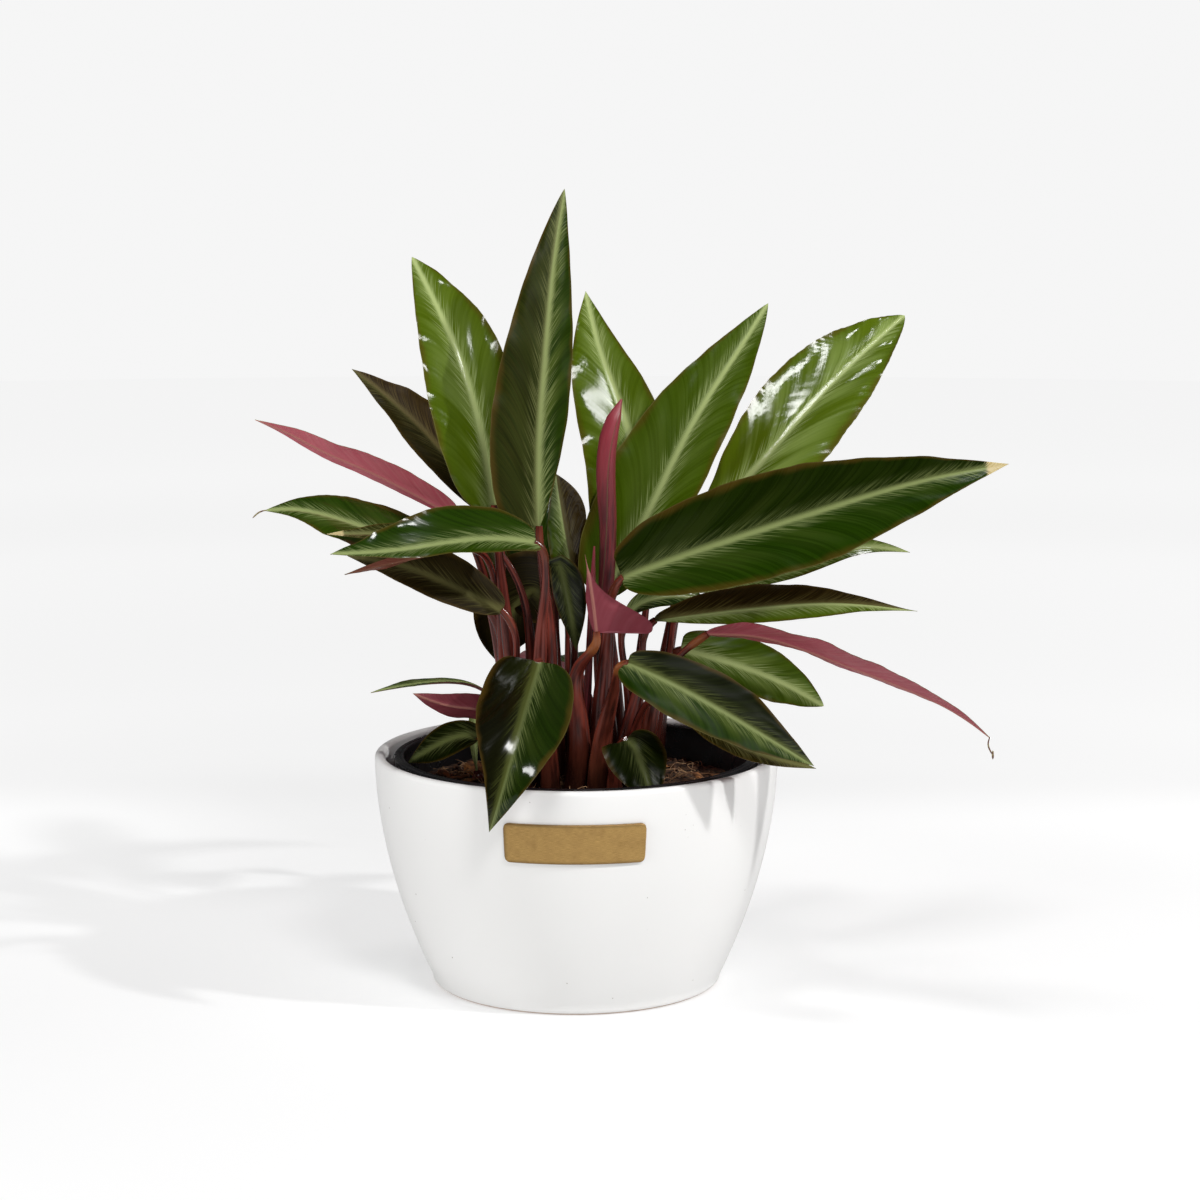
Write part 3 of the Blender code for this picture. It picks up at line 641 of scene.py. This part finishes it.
def blade_mesh(spec, seed):
    """Points, faces and surface values of one blade, its upper side first and then the underside"""
    petiole = spec["petiole"]
    share = np.linspace(0, 1, BLADE_ROWS)
    share = 0.6 * share + 0.4 * (0.5 - 0.5 * np.cos(math.pi * share))
    line, ahead, length = stations_along(spec["route"], petiole + (1 - petiole) * share)
    length *= 1 - petiole
    upper, under, vein, off, uv, mood = [], [], [], [], [], []
    for middle, way, place in zip(line, ahead, share):
        looks = np.array(spec["faces"], float)
        up = unit(looks - way * (looks @ way))
        right = np.cross(way, up)
        thin = 1.3 - 1.2 * place ** 3
        for u in ACROSS:
            side = 0 if u < 0 else 1
            wide, belly, blunt = spec["sides"][side]
            half = max(wide * half_width(place, belly, blunt, spec["point"]), 0.45 * thin)
            half *= 1 + 0.018 * wander(place * length / 9, side * 7.3, seed) * (place < 0.97)
            lift = math.radians(spec["lifts"][side])
            back = spec["lobes"][side] * abs(u) ** 1.5 * (1 - place) ** 5 * half / wide
            spread = half * abs(u)
            along = place * length - VEIN_SLANT * spread * (1 - 0.38 * abs(u))
            rise = spread * math.sin(lift) - spec["arch"] * half * u * u
            ripple = math.sin(along * 2 * math.pi / 6.5 + side)
            rise += spec["quilt"] * ripple * abs(u) ** 0.6 * min(half / 12, 1)
            ripple = wander(along / 15, 2.2 * u + 3 * side, seed + 4)
            rise += spec["folds"] * ripple * abs(u) ** 0.7 * min(half / 12, 1)
            ripple = wander(place * length / 17, side * 5.1 + seed, 2.0)
            rise += spec["waves"] * abs(u) ** 3 * ripple * min(half / 10, 1)
            spot = middle - way * back + right * (half * u * math.cos(lift)) + up * rise
            body = 0.19 - 0.11 * u * u
            upper.append(spot + up * (body - 0.34 * thin * math.exp(-(spread / 0.9) ** 2)))
            under.append(spot - up * (body + 0.62 * thin * math.exp(-(spread / 0.75) ** 2)))
            vein.append(along + 83.0 * side + 210.0 * seed)
            off.append(half * u)
            uv.append(((u + 1) / 2, place))
            dry = max(0.0, 1.5 - (1 - place) * length / spec["dry"]) if spec["dry"] else 0.0
            mood.append([part[side] if isinstance(part, tuple) else part for part in spec["mood"]] + [dry])
    layers = {"vein": vein * 2, "off": off * 2, "mood": mood * 2, "matte": [spec["matte"]] * len(vein) * 2}
    return upper + under, sheet_faces(BLADE_ROWS, len(ACROSS)), layers, uv * 2


# ---- leaf stalks
# A leaf rises from the crown in a channelled sheath that narrows to a slim round stalk. Just below the
# blade the stalk thickens into a short joint that turns the blade to the light, and runs on as its midrib.

STALK_RADIUS = 1.5
JOINT_RADIUS = 1.85
JOINT_LENGTH = 11.0
STALK_ROWS = 64
STALK_SIDES = 18



def lengthwise(finish, around, along, detail, own=0.0):
    """Noise that is stretched along a stalk"""
    ways = axes(finish, unrolled_place(finish))
    place = {0: sum_up(finish, "MULTIPLY", ways[0], around), 2: own,
             1: sum_up(finish, "MULTIPLY", ways[1], along)}
    return grain(finish, 1.0, detail, add(finish, "ShaderNodeCombineXYZ", place).outputs[0])


stalk_finish = start_finish("leaf_stalk", (0.2, 0.06, 0.05), 0.24)
up_it = axes(stalk_finish, unrolled_place(stalk_finish))[1]
leaf_light_stalk_green, joint, own = mood_parts(stalk_finish)
lines = lengthwise(stalk_finish, 9.0, 4.0, 3.0, own)
streaks = ease(stalk_finish, lines, 0.3, 0.7)
skin = blend(stalk_finish, streaks, (0.03, 0.0035, 0.003, 1), (0.19, 0.028, 0.02, 1))
greenish = blend(stalk_finish, streaks, (0.035, 0.012, 0.005, 1), (0.12, 0.05, 0.02, 1))
skin = blend(stalk_finish, leaf_light_stalk_green, skin, greenish)
# Painted shade: the lower half of each stalk darkens towards its foot, to near black at the soil, for the
# shade inside the crown
skin = blend(stalk_finish, ease(stalk_finish, up_it, 0.5, 0.02, 0.0, 0.8), skin, (0.012, 0.002, 0.002, 1))
skin = blend(stalk_finish, joint, skin, (0.26, 0.085, 0.025, 1))
join(stalk_finish, "Base Color", skin)
relief(stalk_finish, lines, 0.12, 0.6)


def stalk_radius(run, length, sheath):
    """Radius of a stalk at a distance from its foot in mm, and how much of it is joint. The sheath is its
    radius at the foot and how far up the stalk it reaches"""
    wrap = (sheath[0] - STALK_RADIUS) * max(1 - run / (sheath[1] * length), 0) ** 0.9
    joint = math.exp(-((length - run - JOINT_LENGTH * 0.55) / (JOINT_LENGTH * 0.42)) ** 4)
    return STALK_RADIUS + wrap + (JOINT_RADIUS - STALK_RADIUS) * joint, joint


def tube_mesh(route, radius_at, mood_at, channel=0.0, rows=STALK_ROWS, sides=STALK_SIDES, seed=0, roll=0.0,
              step=0.0):
    """Points, faces and surface values of a stalk, or of a rolled leaf where step is the edge's height"""
    line, ahead, length = stations_along(route, np.linspace(0, 1, rows))
    ahead[0] = unit(ahead[0] + np.array((0, 0, 1.0)))
    side = unit(np.cross(ahead[0], (0.0, 1.0, 0.2)))
    points, uv, mood = [], [], []
    for k, (middle, way) in enumerate(zip(line, ahead)):
        place = k / (rows - 1)
        side = unit(side - way * (side @ way))
        other = np.cross(way, side)
        radius = radius_at(place * length, length)
        for n in range(sides):
            share = n / sides
            turn = 2 * math.pi * share + roll * place
            groove = channel * (1 - place) ** 0.7 * math.exp(-((share - 0.25) / 0.09) ** 2)
            r = radius * (1 + step * share - groove)
            r *= 1 + 0.035 * wander(place * length / 12, turn, seed)
            points.append(middle + r * (side * math.cos(turn) + other * math.sin(turn)))
            uv.append((share, place))
            mood.append(mood_at(place * length, length))
    faces = tube_faces(rows, sides)
    points += [line[0], line[-1]]
    uv += [(0.5, 0.0), (0.5, 1.0)]
    mood += [mood[0], mood[-1]]
    first, last = len(points) - 2, len(points) - 1
    for n in range(sides):
        faces += [(first, (n + 1) % sides, n), (last, first - sides + n, first - sides + (n + 1) % sides)]
    return points, faces, mood, uv


def grow_stalk(name, route, mood, sheath, seed, nodes=()):
    """The piece of one stalk. Its mood is how green it is and how pale its joint"""
    def tint(run, length):
        joint = stalk_radius(run, length, sheath)[1]
        foot = max(1 - run / (0.4 * length), 0.0)
        return (min(mood[0] + 0.5 * foot, 1.0), joint * mood[1], seed * 3.7, 1.0)

    def radius_at(run, length):
        return stalk_radius(run, length, sheath)[0]

    points, faces, tints, uv = tube_mesh(route, radius_at, tint, 0.2, seed=seed)
    made = make_piece("stalk_" + name, points, faces, (stalk_finish,), nodes)
    add_layers(made.data, {"mood": tints}, uv)


def grow_leaf(name, route, left, right, faces, foot=None, via=(), lifts=(10, 10), point=1.0, lobes=(3, 3),
              petiole=0.0, tone=0.45, pale=0.4, brown=0.0, dry=0.0, waves=1.8, folds=0.9, arch=0.04,
              quilt=0.08, matte=0.0, sheath=(3.9, 0.7), stalk=(0.15, 0.12)):
    """One leaf, blade and stalk. Left and right give a half's width, where it is widest and how bluntly it
    starts, as seen from above with the tip up. The leaf's look is its tone, which is painted light and shade
    from a half in deep shadow at 0 to a brightly lit one at 1, how far the pale feathers reach, its share of
    brown, partly own olive tint and partly painted shade, and the length of its dried tip"""
    seed = grow_leaf.count = getattr(grow_leaf, "count", 0) + 1
    spec = dict(route=route, sides=(left, right), faces=faces, lifts=lifts, point=point, lobes=lobes,
                petiole=petiole, mood=(tone, pale, brown), dry=dry, waves=waves, folds=folds, arch=arch,
                quilt=quilt, matte=matte)
    points, sides, layers, uv = blade_mesh(spec, seed)
    finishes = (dull_side if matte > 0.1 else upper_side, under_side)
    made = make_piece("blade_" + name, points, sides, finishes, ("leaf_" + name,), 60)
    for side in made.data.polygons:
        side.material_index = int(min(side.vertices) >= len(points) // 2)
    add_layers(made.data, layers, uv)
    if foot:
        base, ahead, _ = stations_along(route, [0.0, 0.02])
        top = base[0] + ahead[0] * 0.6
        path = [(*foot, SOIL_Z - 0.6), *via, tuple(top - ahead[0] * 2 - np.array((0, 0, 1.2))), tuple(top)]
        grow_stalk(name, path, stalk, sheath, seed, ("stalk_" + name,))
    else:
        line, _, _ = stations_along(route, np.linspace(0, petiole + 0.01, 9))
        path = [(*line[0][:2], SOIL_Z - 0.6), *map(tuple, line[1:])]
        grow_stalk(name, path, stalk, sheath, seed)


# ---- leaves on stalks
# Each leaf of the plant grows from a stalk or petiole that stands in the mix. Those on the left, the middle
# and the right come first and the ones at the rear last, each with the route of its midrib from foot to tip.

# Painted light and shade: each leaf's tone, given per half where the halves differ, is set low for a leaf or
# half that lies in shadow and high for one in the light, and its brown is raised on shaded leaves as painted
# shade
grow_leaf("tall", [(-16, -10, 204), (-16, -9, 238), (-13, -4, 283), (-9, 6, 324), (-5, 14, 350)],
    (22, 0.27, 0.5), (12.3, 0.42, 1.1), (0.1, -1, 0.3), foot=(-12, -8), via=[(-12, -10, 120),
    (-12, -11, 165)], point=0.85, tone=(0.3, 0.5), pale=(0.5, 0.8), brown=(0.3, 0.1), matte=0.3,
    sheath=(5.2, 0.9), waves=2.4, folds=1.4)
grow_leaf("upper_left", [(-36, 0, 212), (-41, 4, 241), (-52, 12, 278), (-65, 24, 305), (-73, 30, 320)],
    (20.5, 0.36, 0.5), (19.2, 0.52, 0.5), (0.2, -1, 0.4), foot=(-24, -6), via=[(-26, -6, 120),
    (-31, -5, 165)], point=0.85, tone=0.85, pale=(0.5, 0.25), quilt=0.12, sheath=(5.0, 0.9), waves=2.2,
    folds=1.3)
grow_leaf("back_left", [(-38, 14, 210), (-61, 26, 235), (-83, 40, 255), (-102, 50, 269)], (12, 0.38, 0.5),
    (17, 0.38, 0.5), (0.3, -0.8, 0.6), foot=(-27, 6), via=[(-29, 7, 120), (-33, 9, 165)], tone=(0.25, 0.1),
    pale=(0.6, 0.5), brown=(0.6, 0.9), matte=0.35)
grow_leaf("far_left", [(-54, 2, 208), (-75, 5, 219), (-94, 8, 228), (-111, 11, 235), (-127, 13, 243),
    (-142, 14, 249)], (10.5, 0.36, 0.4), (6, 0.5, 0.5), (-0.3, 0.62, 0.74), foot=(-31, 14),
    via=[(-31, 14, 120), (-38, 14, 165)], tone=0.85, pale=0.3, sheath=(4.2, 0.85))
grow_leaf("mid_left", [(-57, 1, 187), (-78, -2, 197), (-94, -6, 204), (-108, -10, 209), (-121, -13, 212),
    (-135, -16, 212)], (17.5, 0.42, 0.4), (16, 0.4, 0.3), (0.2, -0.6, 0.8), foot=(-35, 5),
    via=[(-33, 4, 120), (-35, 4, 160)], tone=(0.62, 0.55), sheath=(4.8, 0.9))
grow_leaf("yellow_tipped", [(-18, 9, 88.3), (-20, 8, 140), (-28, 6, 182), (-39, 3, 196), (-52, -8, 202),
    (-80, -22, 203), (-107, -26, 203)], (6, 0.5, 0.6), (6, 0.5, 0.6), (0.0, -0.5, 0.9), petiole=0.66,
    tone=0.4, pale=0.3, brown=0.5, dry=7)
grow_leaf("front_left", [(-17, -30, 200), (-33, -35, 202), (-49, -42, 202), (-74, -48, 199),
    (-103, -55, 198)], (9.5, 0.3, 0.5), (20, 0.4, 0.5), (0.0, -0.6, 0.8), foot=(-20, -14),
    via=[(-17, -16, 120), (-14.5, -22, 165), (-13, -29, 189)], lobes=(6, 2), tone=(0.6, 0.52),
    pale=(0.3, 0.15), sheath=(4.8, 0.9), folds=1.0, quilt=0.05)
grow_leaf("brown_left", [(-30, -2, 88.3), (-32, -1, 130), (-35, -1, 175), (-43, -12, 195), (-56, -27, 196),
    (-75, -38, 193), (-98, -45, 188)], (6, 0.5, 0.6), (8, 0.55, 0.6), (0.0, 0.5, 0.85), petiole=0.66,
    tone=0.5, pale=0.2, brown=0.55, sheath=(3.6, 0.8))
grow_leaf("dark_left", [(-32, -14, 168), (-50, -18, 177), (-72, -24, 188), (-98, -30, 194)], (10, 0.5, 0.5),
    (14, 0.45, 0.5), (0.2, -0.8, 0.5), foot=(-29, -16), via=[(-30, -17, 120)], tone=0.1, pale=0.3,
    brown=0.5, matte=0.5)
grow_leaf("front_drooping", [(-16, -46, 151), (-22, -76, 134), (-28, -98, 114), (-35, -101, 89)],
    (20, 0.36, 0.4), (21, 0.28, 0.3), (-0.1, -0.9, 0.5), foot=(-11, -24), via=[(-12, -28, 120)],
    lifts=(-8, -8), lobes=(3, 8), tone=(0.25, 0.02), pale=(0.3, 0.2), sheath=(4.6, 0.8), folds=0.7,
    quilt=0.02, waves=1.0)
grow_leaf("centre_folded", [(9, -26, 160), (7, -26, 177), (4, -25, 194)], (25, 0.08, 0.4), (3, 0.4, 0.6),
    (0.0, 1, 0.1), foot=(0, -16), via=[(1, -18, 120), (2, -20, 145)], point=2.3, lobes=(4, 0), tone=0.32,
    pale=0.0, stalk=(0.2, 0.8), sheath=(6.4, 0.95))
grow_leaf("right_drooping", [(22, -50, 151), (44, -66, 143), (69, -80, 131), (99, -88, 114)],
    (14.5, 0.47, 0.4), (15, 0.42, 0.4), (-0.1, -0.8, 0.7), foot=(10, -24), via=[(12, -28, 115),
    (17, -38, 140)], lobes=(6, 4), tone=(0.1, 0.35), pale=(0.2, 0.8), stalk=(0.3, 0.8), sheath=(5.8, 0.85),
    folds=1.1, matte=0.3, quilt=0.04)
grow_leaf("under_right", [(24, -22, 88.3), (26, -28, 118), (33, -40, 133), (61, -60, 122), (101, -74, 110)],
    (6, 0.5, 0.6), (6, 0.5, 0.6), (-0.1, -0.8, 0.7), petiole=0.45, tone=0.2, pale=0.3, brown=0.5)
# Its pale=1.0 is partly the leaf's pale feathering and partly painted sheen, for the grazing sheen across it
grow_leaf("pale_right", [(46, -2, 149), (70, -9, 143), (90, -15, 136), (108, -22, 127)], (14, 0.42, 0.3),
    (12.5, 0.55, 0.4), (-0.1, -0.8, 0.7), foot=(26, 6), via=[(30, 5, 110), (36, 3, 130)], point=0.8,
    tone=0.7, pale=1.0, matte=0.2, folds=1.2, sheath=(4.6, 0.8))
grow_leaf("far_right", [(57, -22, 159), (79, -35, 160), (110, -51, 152), (143, -67, 141), (162, -76, 132),
    (173, -80, 124)], (10.5, 0.4, 0.6), (13, 0.48, 0.6), (0.3, 0.44, 0.85), foot=(27, -12),
    via=[(32, -14, 115), (42, -17, 145)], tone=0.6, pale=0.25, stalk=(0.3, 0.7), sheath=(5.2, 0.75))
grow_leaf("dark_right", [(34, -17, 164), (75, -31, 171), (113, -42, 175), (145, -50, 173)],
    (11.5, 0.38, 0.8), (8.5, 0.5, 0.9), (0.0, -0.8, 0.7), foot=(19, -9), via=[(23, -11, 115),
    (29, -13, 145)], point=1.4, tone=(0.05, 0.8), pale=(0.2, 0.9), brown=(0.6, 0.0), matte=0.25, folds=1.2,
    sheath=(5.0, 0.8))
grow_leaf("big_right", [(20, -18, 183), (53, -34, 197), (103, -52, 216), (151, -68, 232), (179, -74, 238)],
    (24.5, 0.36, 0.4), (25, 0.48, 0.5), (-0.2, -0.9, 0.5), foot=(10, -12), via=[(11, -13, 120),
    (14, -15, 160)], lobes=(8, 3), tone=(0.2, 0.42), pale=0.3, sheath=(6.2, 0.95), dry=9, matte=0.14)
grow_leaf("narrow_right", [(50, -1, 174), (98, -9, 187), (127, -15, 196), (145, -18, 194)], (7, 0.5, 0.6),
    (5.5, 0.55, 0.6), (-0.2, -0.8, 0.6), foot=(33, -4), via=[(36, -6, 120), (41, -7, 150)], tone=0.75,
    pale=0.8)
grow_leaf("back_right", [(55, 16, 200), (83, 34, 228), (113, 54, 259), (151, 76, 292)], (25, 0.58, 0.6),
    (27, 0.42, 0.6), (-0.4, -0.8, 0.5), foot=(34, 12), via=[(37, 12, 120), (44, 12, 165)], point=0.75,
    tone=(0.95, 0.9), pale=0.8, quilt=0.2, folds=1.2, sheath=(5.0, 0.9))
grow_leaf("upper_right", [(13, 7, 171), (35, 12, 214), (55, 24, 252), (73, 34, 279), (86, 42, 299)],
    (25.5, 0.33, 0.5), (18.5, 0.46, 0.6), (-0.3, -0.9, 0.3), foot=(14, 9), via=[(13, 9, 120)], point=0.85,
    tone=0.72, pale=(0.2, 0.3), sheath=(6.0, 0.95), matte=0.15)
grow_leaf("upper_back", [(16, 14, 178), (24, 26, 239), (12, 38, 274), (4, 54, 304)], (22, 0.48, 0.55),
    (16, 0.46, 0.6), (0.0, -1, 0.3), foot=(18, 18), via=[(17, 17, 130)], tone=(0.85, 0.8), pale=(0.6, 0.5),
    quilt=0.14, folds=1.2, sheath=(4.8, 0.9))
grow_leaf("behind_tall", [(-1, 20, 88.3), (-1, 21, 140), (-1, 22, 174), (-5, 18, 200), (-9, 13, 225)],
    (9, 0.4, 0.6), (10.5, 0.68, 0.9), (0.0, -1, 0.2), petiole=0.58, point=0.9, tone=(0.7, 0.1),
    pale=(0.7, 0.1), brown=(0.0, 0.8))
grow_leaf("under_big", [(22, -1, 88.3), (23, -1, 130), (24, -3, 166), (41, -6, 173), (58, -10, 172)],
    (7, 0.5, 0.6), (7, 0.5, 0.6), (0.0, -0.6, 0.8), petiole=0.66, tone=0.5, pale=0.3)
grow_leaf("hanging", [(-8, 4, 88.3), (-9, 12, 150), (-8, 13, 184), (-4, 4, 170), (0, -2, 148)],
    (9, 0.4, 0.6), (6, 0.4, 0.6), (0.2, -0.8, 0.2), petiole=0.68, tone=0.1, pale=0.2, matte=0.3)
grow_leaf("low_dark", [(-14, 16, 88.3), (-14, 20, 150), (-19, 24, 171), (-31, 28, 158), (-35, 33, 136)],
    (19, 0.5, 0.6), (20, 0.4, 0.6), (0.2, -0.8, 0.5), petiole=0.55, tone=0.05, pale=0.1, brown=0.3,
    matte=0.4)
# Its pale=1.0 is partly the leaf's pale feathering and partly painted sheen, for the grey-white sheen on its
# upper side
grow_leaf("low_thin", [(-22, -22, 88.3), (-27, -23, 112), (-40, -27, 135), (-61, -36, 140),
    (-87, -50, 138)], (6, 0.5, 0.6), (6, 0.5, 0.6), (0.1, 0.0, 1.0), petiole=0.45, tone=0.6, pale=1.0)
grow_leaf("low_burgundy", [(-26, -26, 88.3), (-29, -29, 108), (-37, -35, 126), (-52, -44, 131),
    (-69, -52, 138)], (8, 0.4, 0.6), (8, 0.4, 0.6), (-0.2, 0.8, 0.6), petiole=0.45, tone=0.35, pale=0.1)
grow_leaf("small_strip", [(-44, 6, 88.3), (-46, 8, 105), (-45, 10, 126)], (2.5, 0.6, 0.7), (2.5, 0.6, 0.7),
    (0.2, -1, 0.1), petiole=0.1, tone=0.8, pale=0.7)
grow_leaf("in_pot_left", [(-35, -9, 88.3), (-36, -10, 103), (-43, -11, 111), (-60, -10, 108),
    (-74.6, -6, 98.5)], (9, 0.45, 0.6), (8, 0.35, 0.6), (0.0, -0.75, 0.65), petiole=0.42, tone=0.12,
    pale=0.1, matte=0.12)
grow_leaf("in_pot_right", [(17, -30, 88.3), (18, -35, 108), (22, -42, 116), (28, -54, 108), (34, -63, 90)],
    (12, 0.35, 0.4), (15, 0.35, 0.4), (0.1, -0.7, 0.7), petiole=0.45, tone=0.15, pale=0.15, matte=0.15)
grow_leaf("rear_left", [(-30, 26, 88.3), (-33, 38, 150), (-42, 58, 192), (-58, 88, 190), (-68, 112, 168)],
    (15, 0.45, 0.5), (15, 0.45, 0.5), (-0.2, 0.4, 0.9), petiole=0.5, pale=0.35)
grow_leaf("rear_middle", [(-4, 28, 88.3), (-4, 38, 150), (-8, 62, 182), (-14, 96, 176), (-20, 124, 148)],
    (17, 0.45, 0.5), (17, 0.45, 0.5), (-0.1, 0.3, 0.9), petiole=0.48)
grow_leaf("rear_right", [(26, 26, 88.3), (30, 36, 150), (46, 62, 198), (72, 94, 196), (98, 120, 170)],
    (17, 0.45, 0.5), (17, 0.45, 0.5), (0.2, 0.4, 0.9), petiole=0.5)
grow_leaf("rear_upright", [(-14, 30, 88.3), (-15, 36, 150), (-24, 50, 205), (-38, 68, 264)],
    (15, 0.45, 0.5), (15, 0.45, 0.5), (0.1, -0.9, 0.4), petiole=0.45)
grow_leaf("rear_drooping", [(8, 36, 88.3), (4, 50, 122), (-8, 82, 132), (-18, 112, 108), (-22, 120, 84)],
    (17, 0.4, 0.5), (17, 0.4, 0.5), (-0.1, 0.5, 0.9), petiole=0.4)
grow_leaf("rear_low", [(32, 32, 88.3), (37, 46, 118), (52, 74, 130), (70, 100, 116)], (15, 0.4, 0.5),
    (15, 0.4, 0.5), (0.2, 0.3, 0.9), petiole=0.42)


# ---- rolled leaves
# Two young leaves that have not opened yet. Each is a blade rolled lengthwise into a tight tube, with
# its free edge winding up the outside and its wine-red underside showing.

rolled = start_finish("rolled_leaf", (0.2, 0.03, 0.04), 0.4)
around, up_it, _ = axes(rolled, unrolled_place(rolled))
lines = lengthwise(rolled, 16.0, 9.0, 4.0)
skin = blend(rolled, ease(rolled, lines, 0.3, 0.7), (0.035, 0.003, 0.004, 1), (0.14, 0.014, 0.018, 1))
skin = blend(rolled, ease(rolled, up_it, 0.6, 1.0, 0.0, 0.8), skin, (0.26, 0.03, 0.045, 1))
skin = blend(rolled, ease(rolled, around, 0.955, 0.985), skin, (0.07, 0.09, 0.02, 1))
join(rolled, "Base Color", skin)
relief(rolled, lines, 0.3, 0.8)

SPEARS = {
    "tall_spear": ([(10.5, 0, 88.3), (12, 0, 130), (13, 0, 170), (14, 0, 206), (15, 0, 245), (20, 2, 259)],
                   (4.9, 4.0, 3.5, 3.3, 3.2, 3.1, 3.1, 3.2, 3.3, 3.4, 3.5, 3.6, 3.7, 3.9, 4.1, 4.2, 4.2, 4.1,
                    3.2, 0.4)),
    "small_spear": ([(3, -5, 88.3), (6, -5, 150), (8, -5, 195)], (2.6, 2.2, 1.8, 1.7, 1.6, 1.5, 1.3, 0.4)),
}


def spear_radius(run, length):
    return float(np.interp(run / length, np.linspace(0, 1, len(radii)), radii)) * 0.95


def spear_tint(*_):
    return 0.0, 0.0, 0.0, 1.0


for number, (name, (route, radii)) in enumerate(SPEARS.items()):
    points, faces, tints, uv = tube_mesh(
        route, spear_radius, spear_tint, rows=110, sides=40, seed=50 + number, roll=2.4, step=0.12)
    made = make_piece("rolled_" + name, points, faces, (rolled,), (name,), 50)
    add_layers(made.data, {"mood": tints}, uv)


# ---- thread tips
# The longest blades run out into a fine thread, part of the midrib that dries and curls once the leaf
# has opened. The one on the far right still carries a scrap of blade at its end.

tip_finish = start_finish("dried_tip", (0.16, 0.08, 0.04), 0.6)
mottle = ease(tip_finish, grain(tip_finish, 600.0), 0.35, 0.65)
join(tip_finish, "Base Color", blend(tip_finish, mottle, (0.1, 0.03, 0.02, 1), (0.24, 0.2, 0.08, 1)))
THREADS = {
    "far_right": [(172.6, -80, 124.6), (172.0, -80, 121.6), (172.9, -80, 118.8), (174.3, -80.4, 116.6)],
    "mid_left": [(-134, -16, 212.2), (-137, -16.4, 211.4), (-140, -17, 208.9)],
}
for name, route in THREADS.items():
    fine = stations_along(route, np.linspace(0, 1, 16))[0]
    parts = [strand([tuple(spot) for spot in fine], 0.34, 8)]
    if name == "far_right":
        parts.append(blob(tuple(fine[-2]), (0.8, 0.45, 1.7), (12, 9), 0.3, 0.2, 3))
    points, faces, _ = gathered(parts)
    make_piece("tip_" + name, points, faces, (tip_finish,))


# ---- studio
# A white table runs on into a pale backdrop. A lamp at the front right throws the plant's shadow to the
# left, and large soft boxes on both sides fill the rest.

GLOW = 0.466

table_top = start_finish("table_white", (0.5, 0.5, 0.5), 0.9)
join(table_top, "Specular IOR Level", 0.0)
join(table_top, "Emission Color", (1.0, 1.0, 1.0, 1.0))
place = object_place(table_top)
from_middle = add(table_top, "ShaderNodeVectorMath", {0: place}, operation="LENGTH").outputs["Value"]
depth = axes(table_top, place)[1]
glow = ease(table_top, from_middle, 0.3, 0.55, GLOW, GLOW + 0.1)
steps = ((from_middle, 0.6, 1.6, 0.18), (from_middle, 1.6, 4.0, 0.05), (depth, -0.1, 0.14, 0.082),
         (depth, 0.3, 0.43, -0.1), (from_middle, 0.5, 0.75, 0.05), (from_middle, 0.75, 1.45, -0.035),
         (from_middle, 1.6, 2.3, 0.055))
for where, low, high, more in steps:
    glow = sum_up(table_top, "ADD", glow, ease(table_top, where, low, high, 0.0, more))
ray = add(table_top, "ShaderNodeLightPath", {}).outputs
told = ease(table_top, ray["Is Camera Ray"], 0.0, 1.0, 0.72, 1.0)
told = sum_up(table_top, "MULTIPLY", told, ease(table_top, ray["Is Glossy Ray"], 0.0, 1.0, 1.0, 0.12))
join(table_top, "Emission Strength", sum_up(table_top, "MULTIPLY", glow, told))
points, faces = turned([(0.0, -4.0), (4000.0, -4.0), (4000.0, 0.0), (0.0, 0.0)], 96)
table_mesh = bpy.data.meshes.new("table")
table_mesh.from_pydata((np.array(points) * MM).tolist(), [], faces)
table_mesh.materials.append(table_top)
table = bpy.data.objects.new("table", table_mesh)
bpy.context.scene.collection.objects.link(table)

world = bpy.data.worlds.new("studio")
bpy.context.scene.world = world
world.use_nodes = True
background = world.node_tree.nodes["Background"]
background.inputs["Color"].default_value = (1.0, 1.0, 1.0, 1.0)
seen = world.node_tree.nodes.new("ShaderNodeLightPath").outputs["Is Camera Ray"]
level = world.node_tree.nodes.new("ShaderNodeMapRange")
world.node_tree.links.new(seen, level.inputs["Value"])
level.inputs["To Min"].default_value = 0.06
level.inputs["To Max"].default_value = 0.92
world.node_tree.links.new(level.outputs[0], background.inputs["Strength"])
bpy.context.scene.view_settings.view_transform = "Standard"


def softbox(name, place, size, power, mirrored=True):
    light = bpy.data.lights.new(name, "AREA")
    light.shape, light.size, light.size_y, light.energy = "RECTANGLE", *size, power
    made = bpy.data.objects.new(name, light)
    made.location = place
    made.rotation_euler = (Vector((0, 0, 0.15)) - made.location).to_track_quat("-Z", "Y").to_euler()
    made.visible_glossy = mirrored
    bpy.context.scene.collection.objects.link(made)


softbox("lamp", (1.81, -0.905, 1.44), (0.1, 0.1), 29)
softbox("lamp_front", (0.39, -1.08, 1.2), (0.34, 0.27), 8)
softbox("box_right", (2.0, -0.6, 0.5), (0.8, 0.8), 7, mirrored=False)
softbox("box_high", (-0.35, -0.35, 2.1), (0.42, 0.3), 13)
softbox("box_low", (-2.0, -1.2, 0.6), (1.0, 1.0), 28, mirrored=False)

camera_data = bpy.data.cameras.new("camera")
camera_data.lens = 85.9
camera_data.sensor_width = 36
camera = bpy.data.objects.new("camera", camera_data)
camera.location = (10.5 * MM, -1250 * MM, 353.5 * MM)
camera.rotation_euler = (math.radians(90 - 8.33), 0, 0)
bpy.context.scene.collection.objects.link(camera)
bpy.context.scene.camera = camera
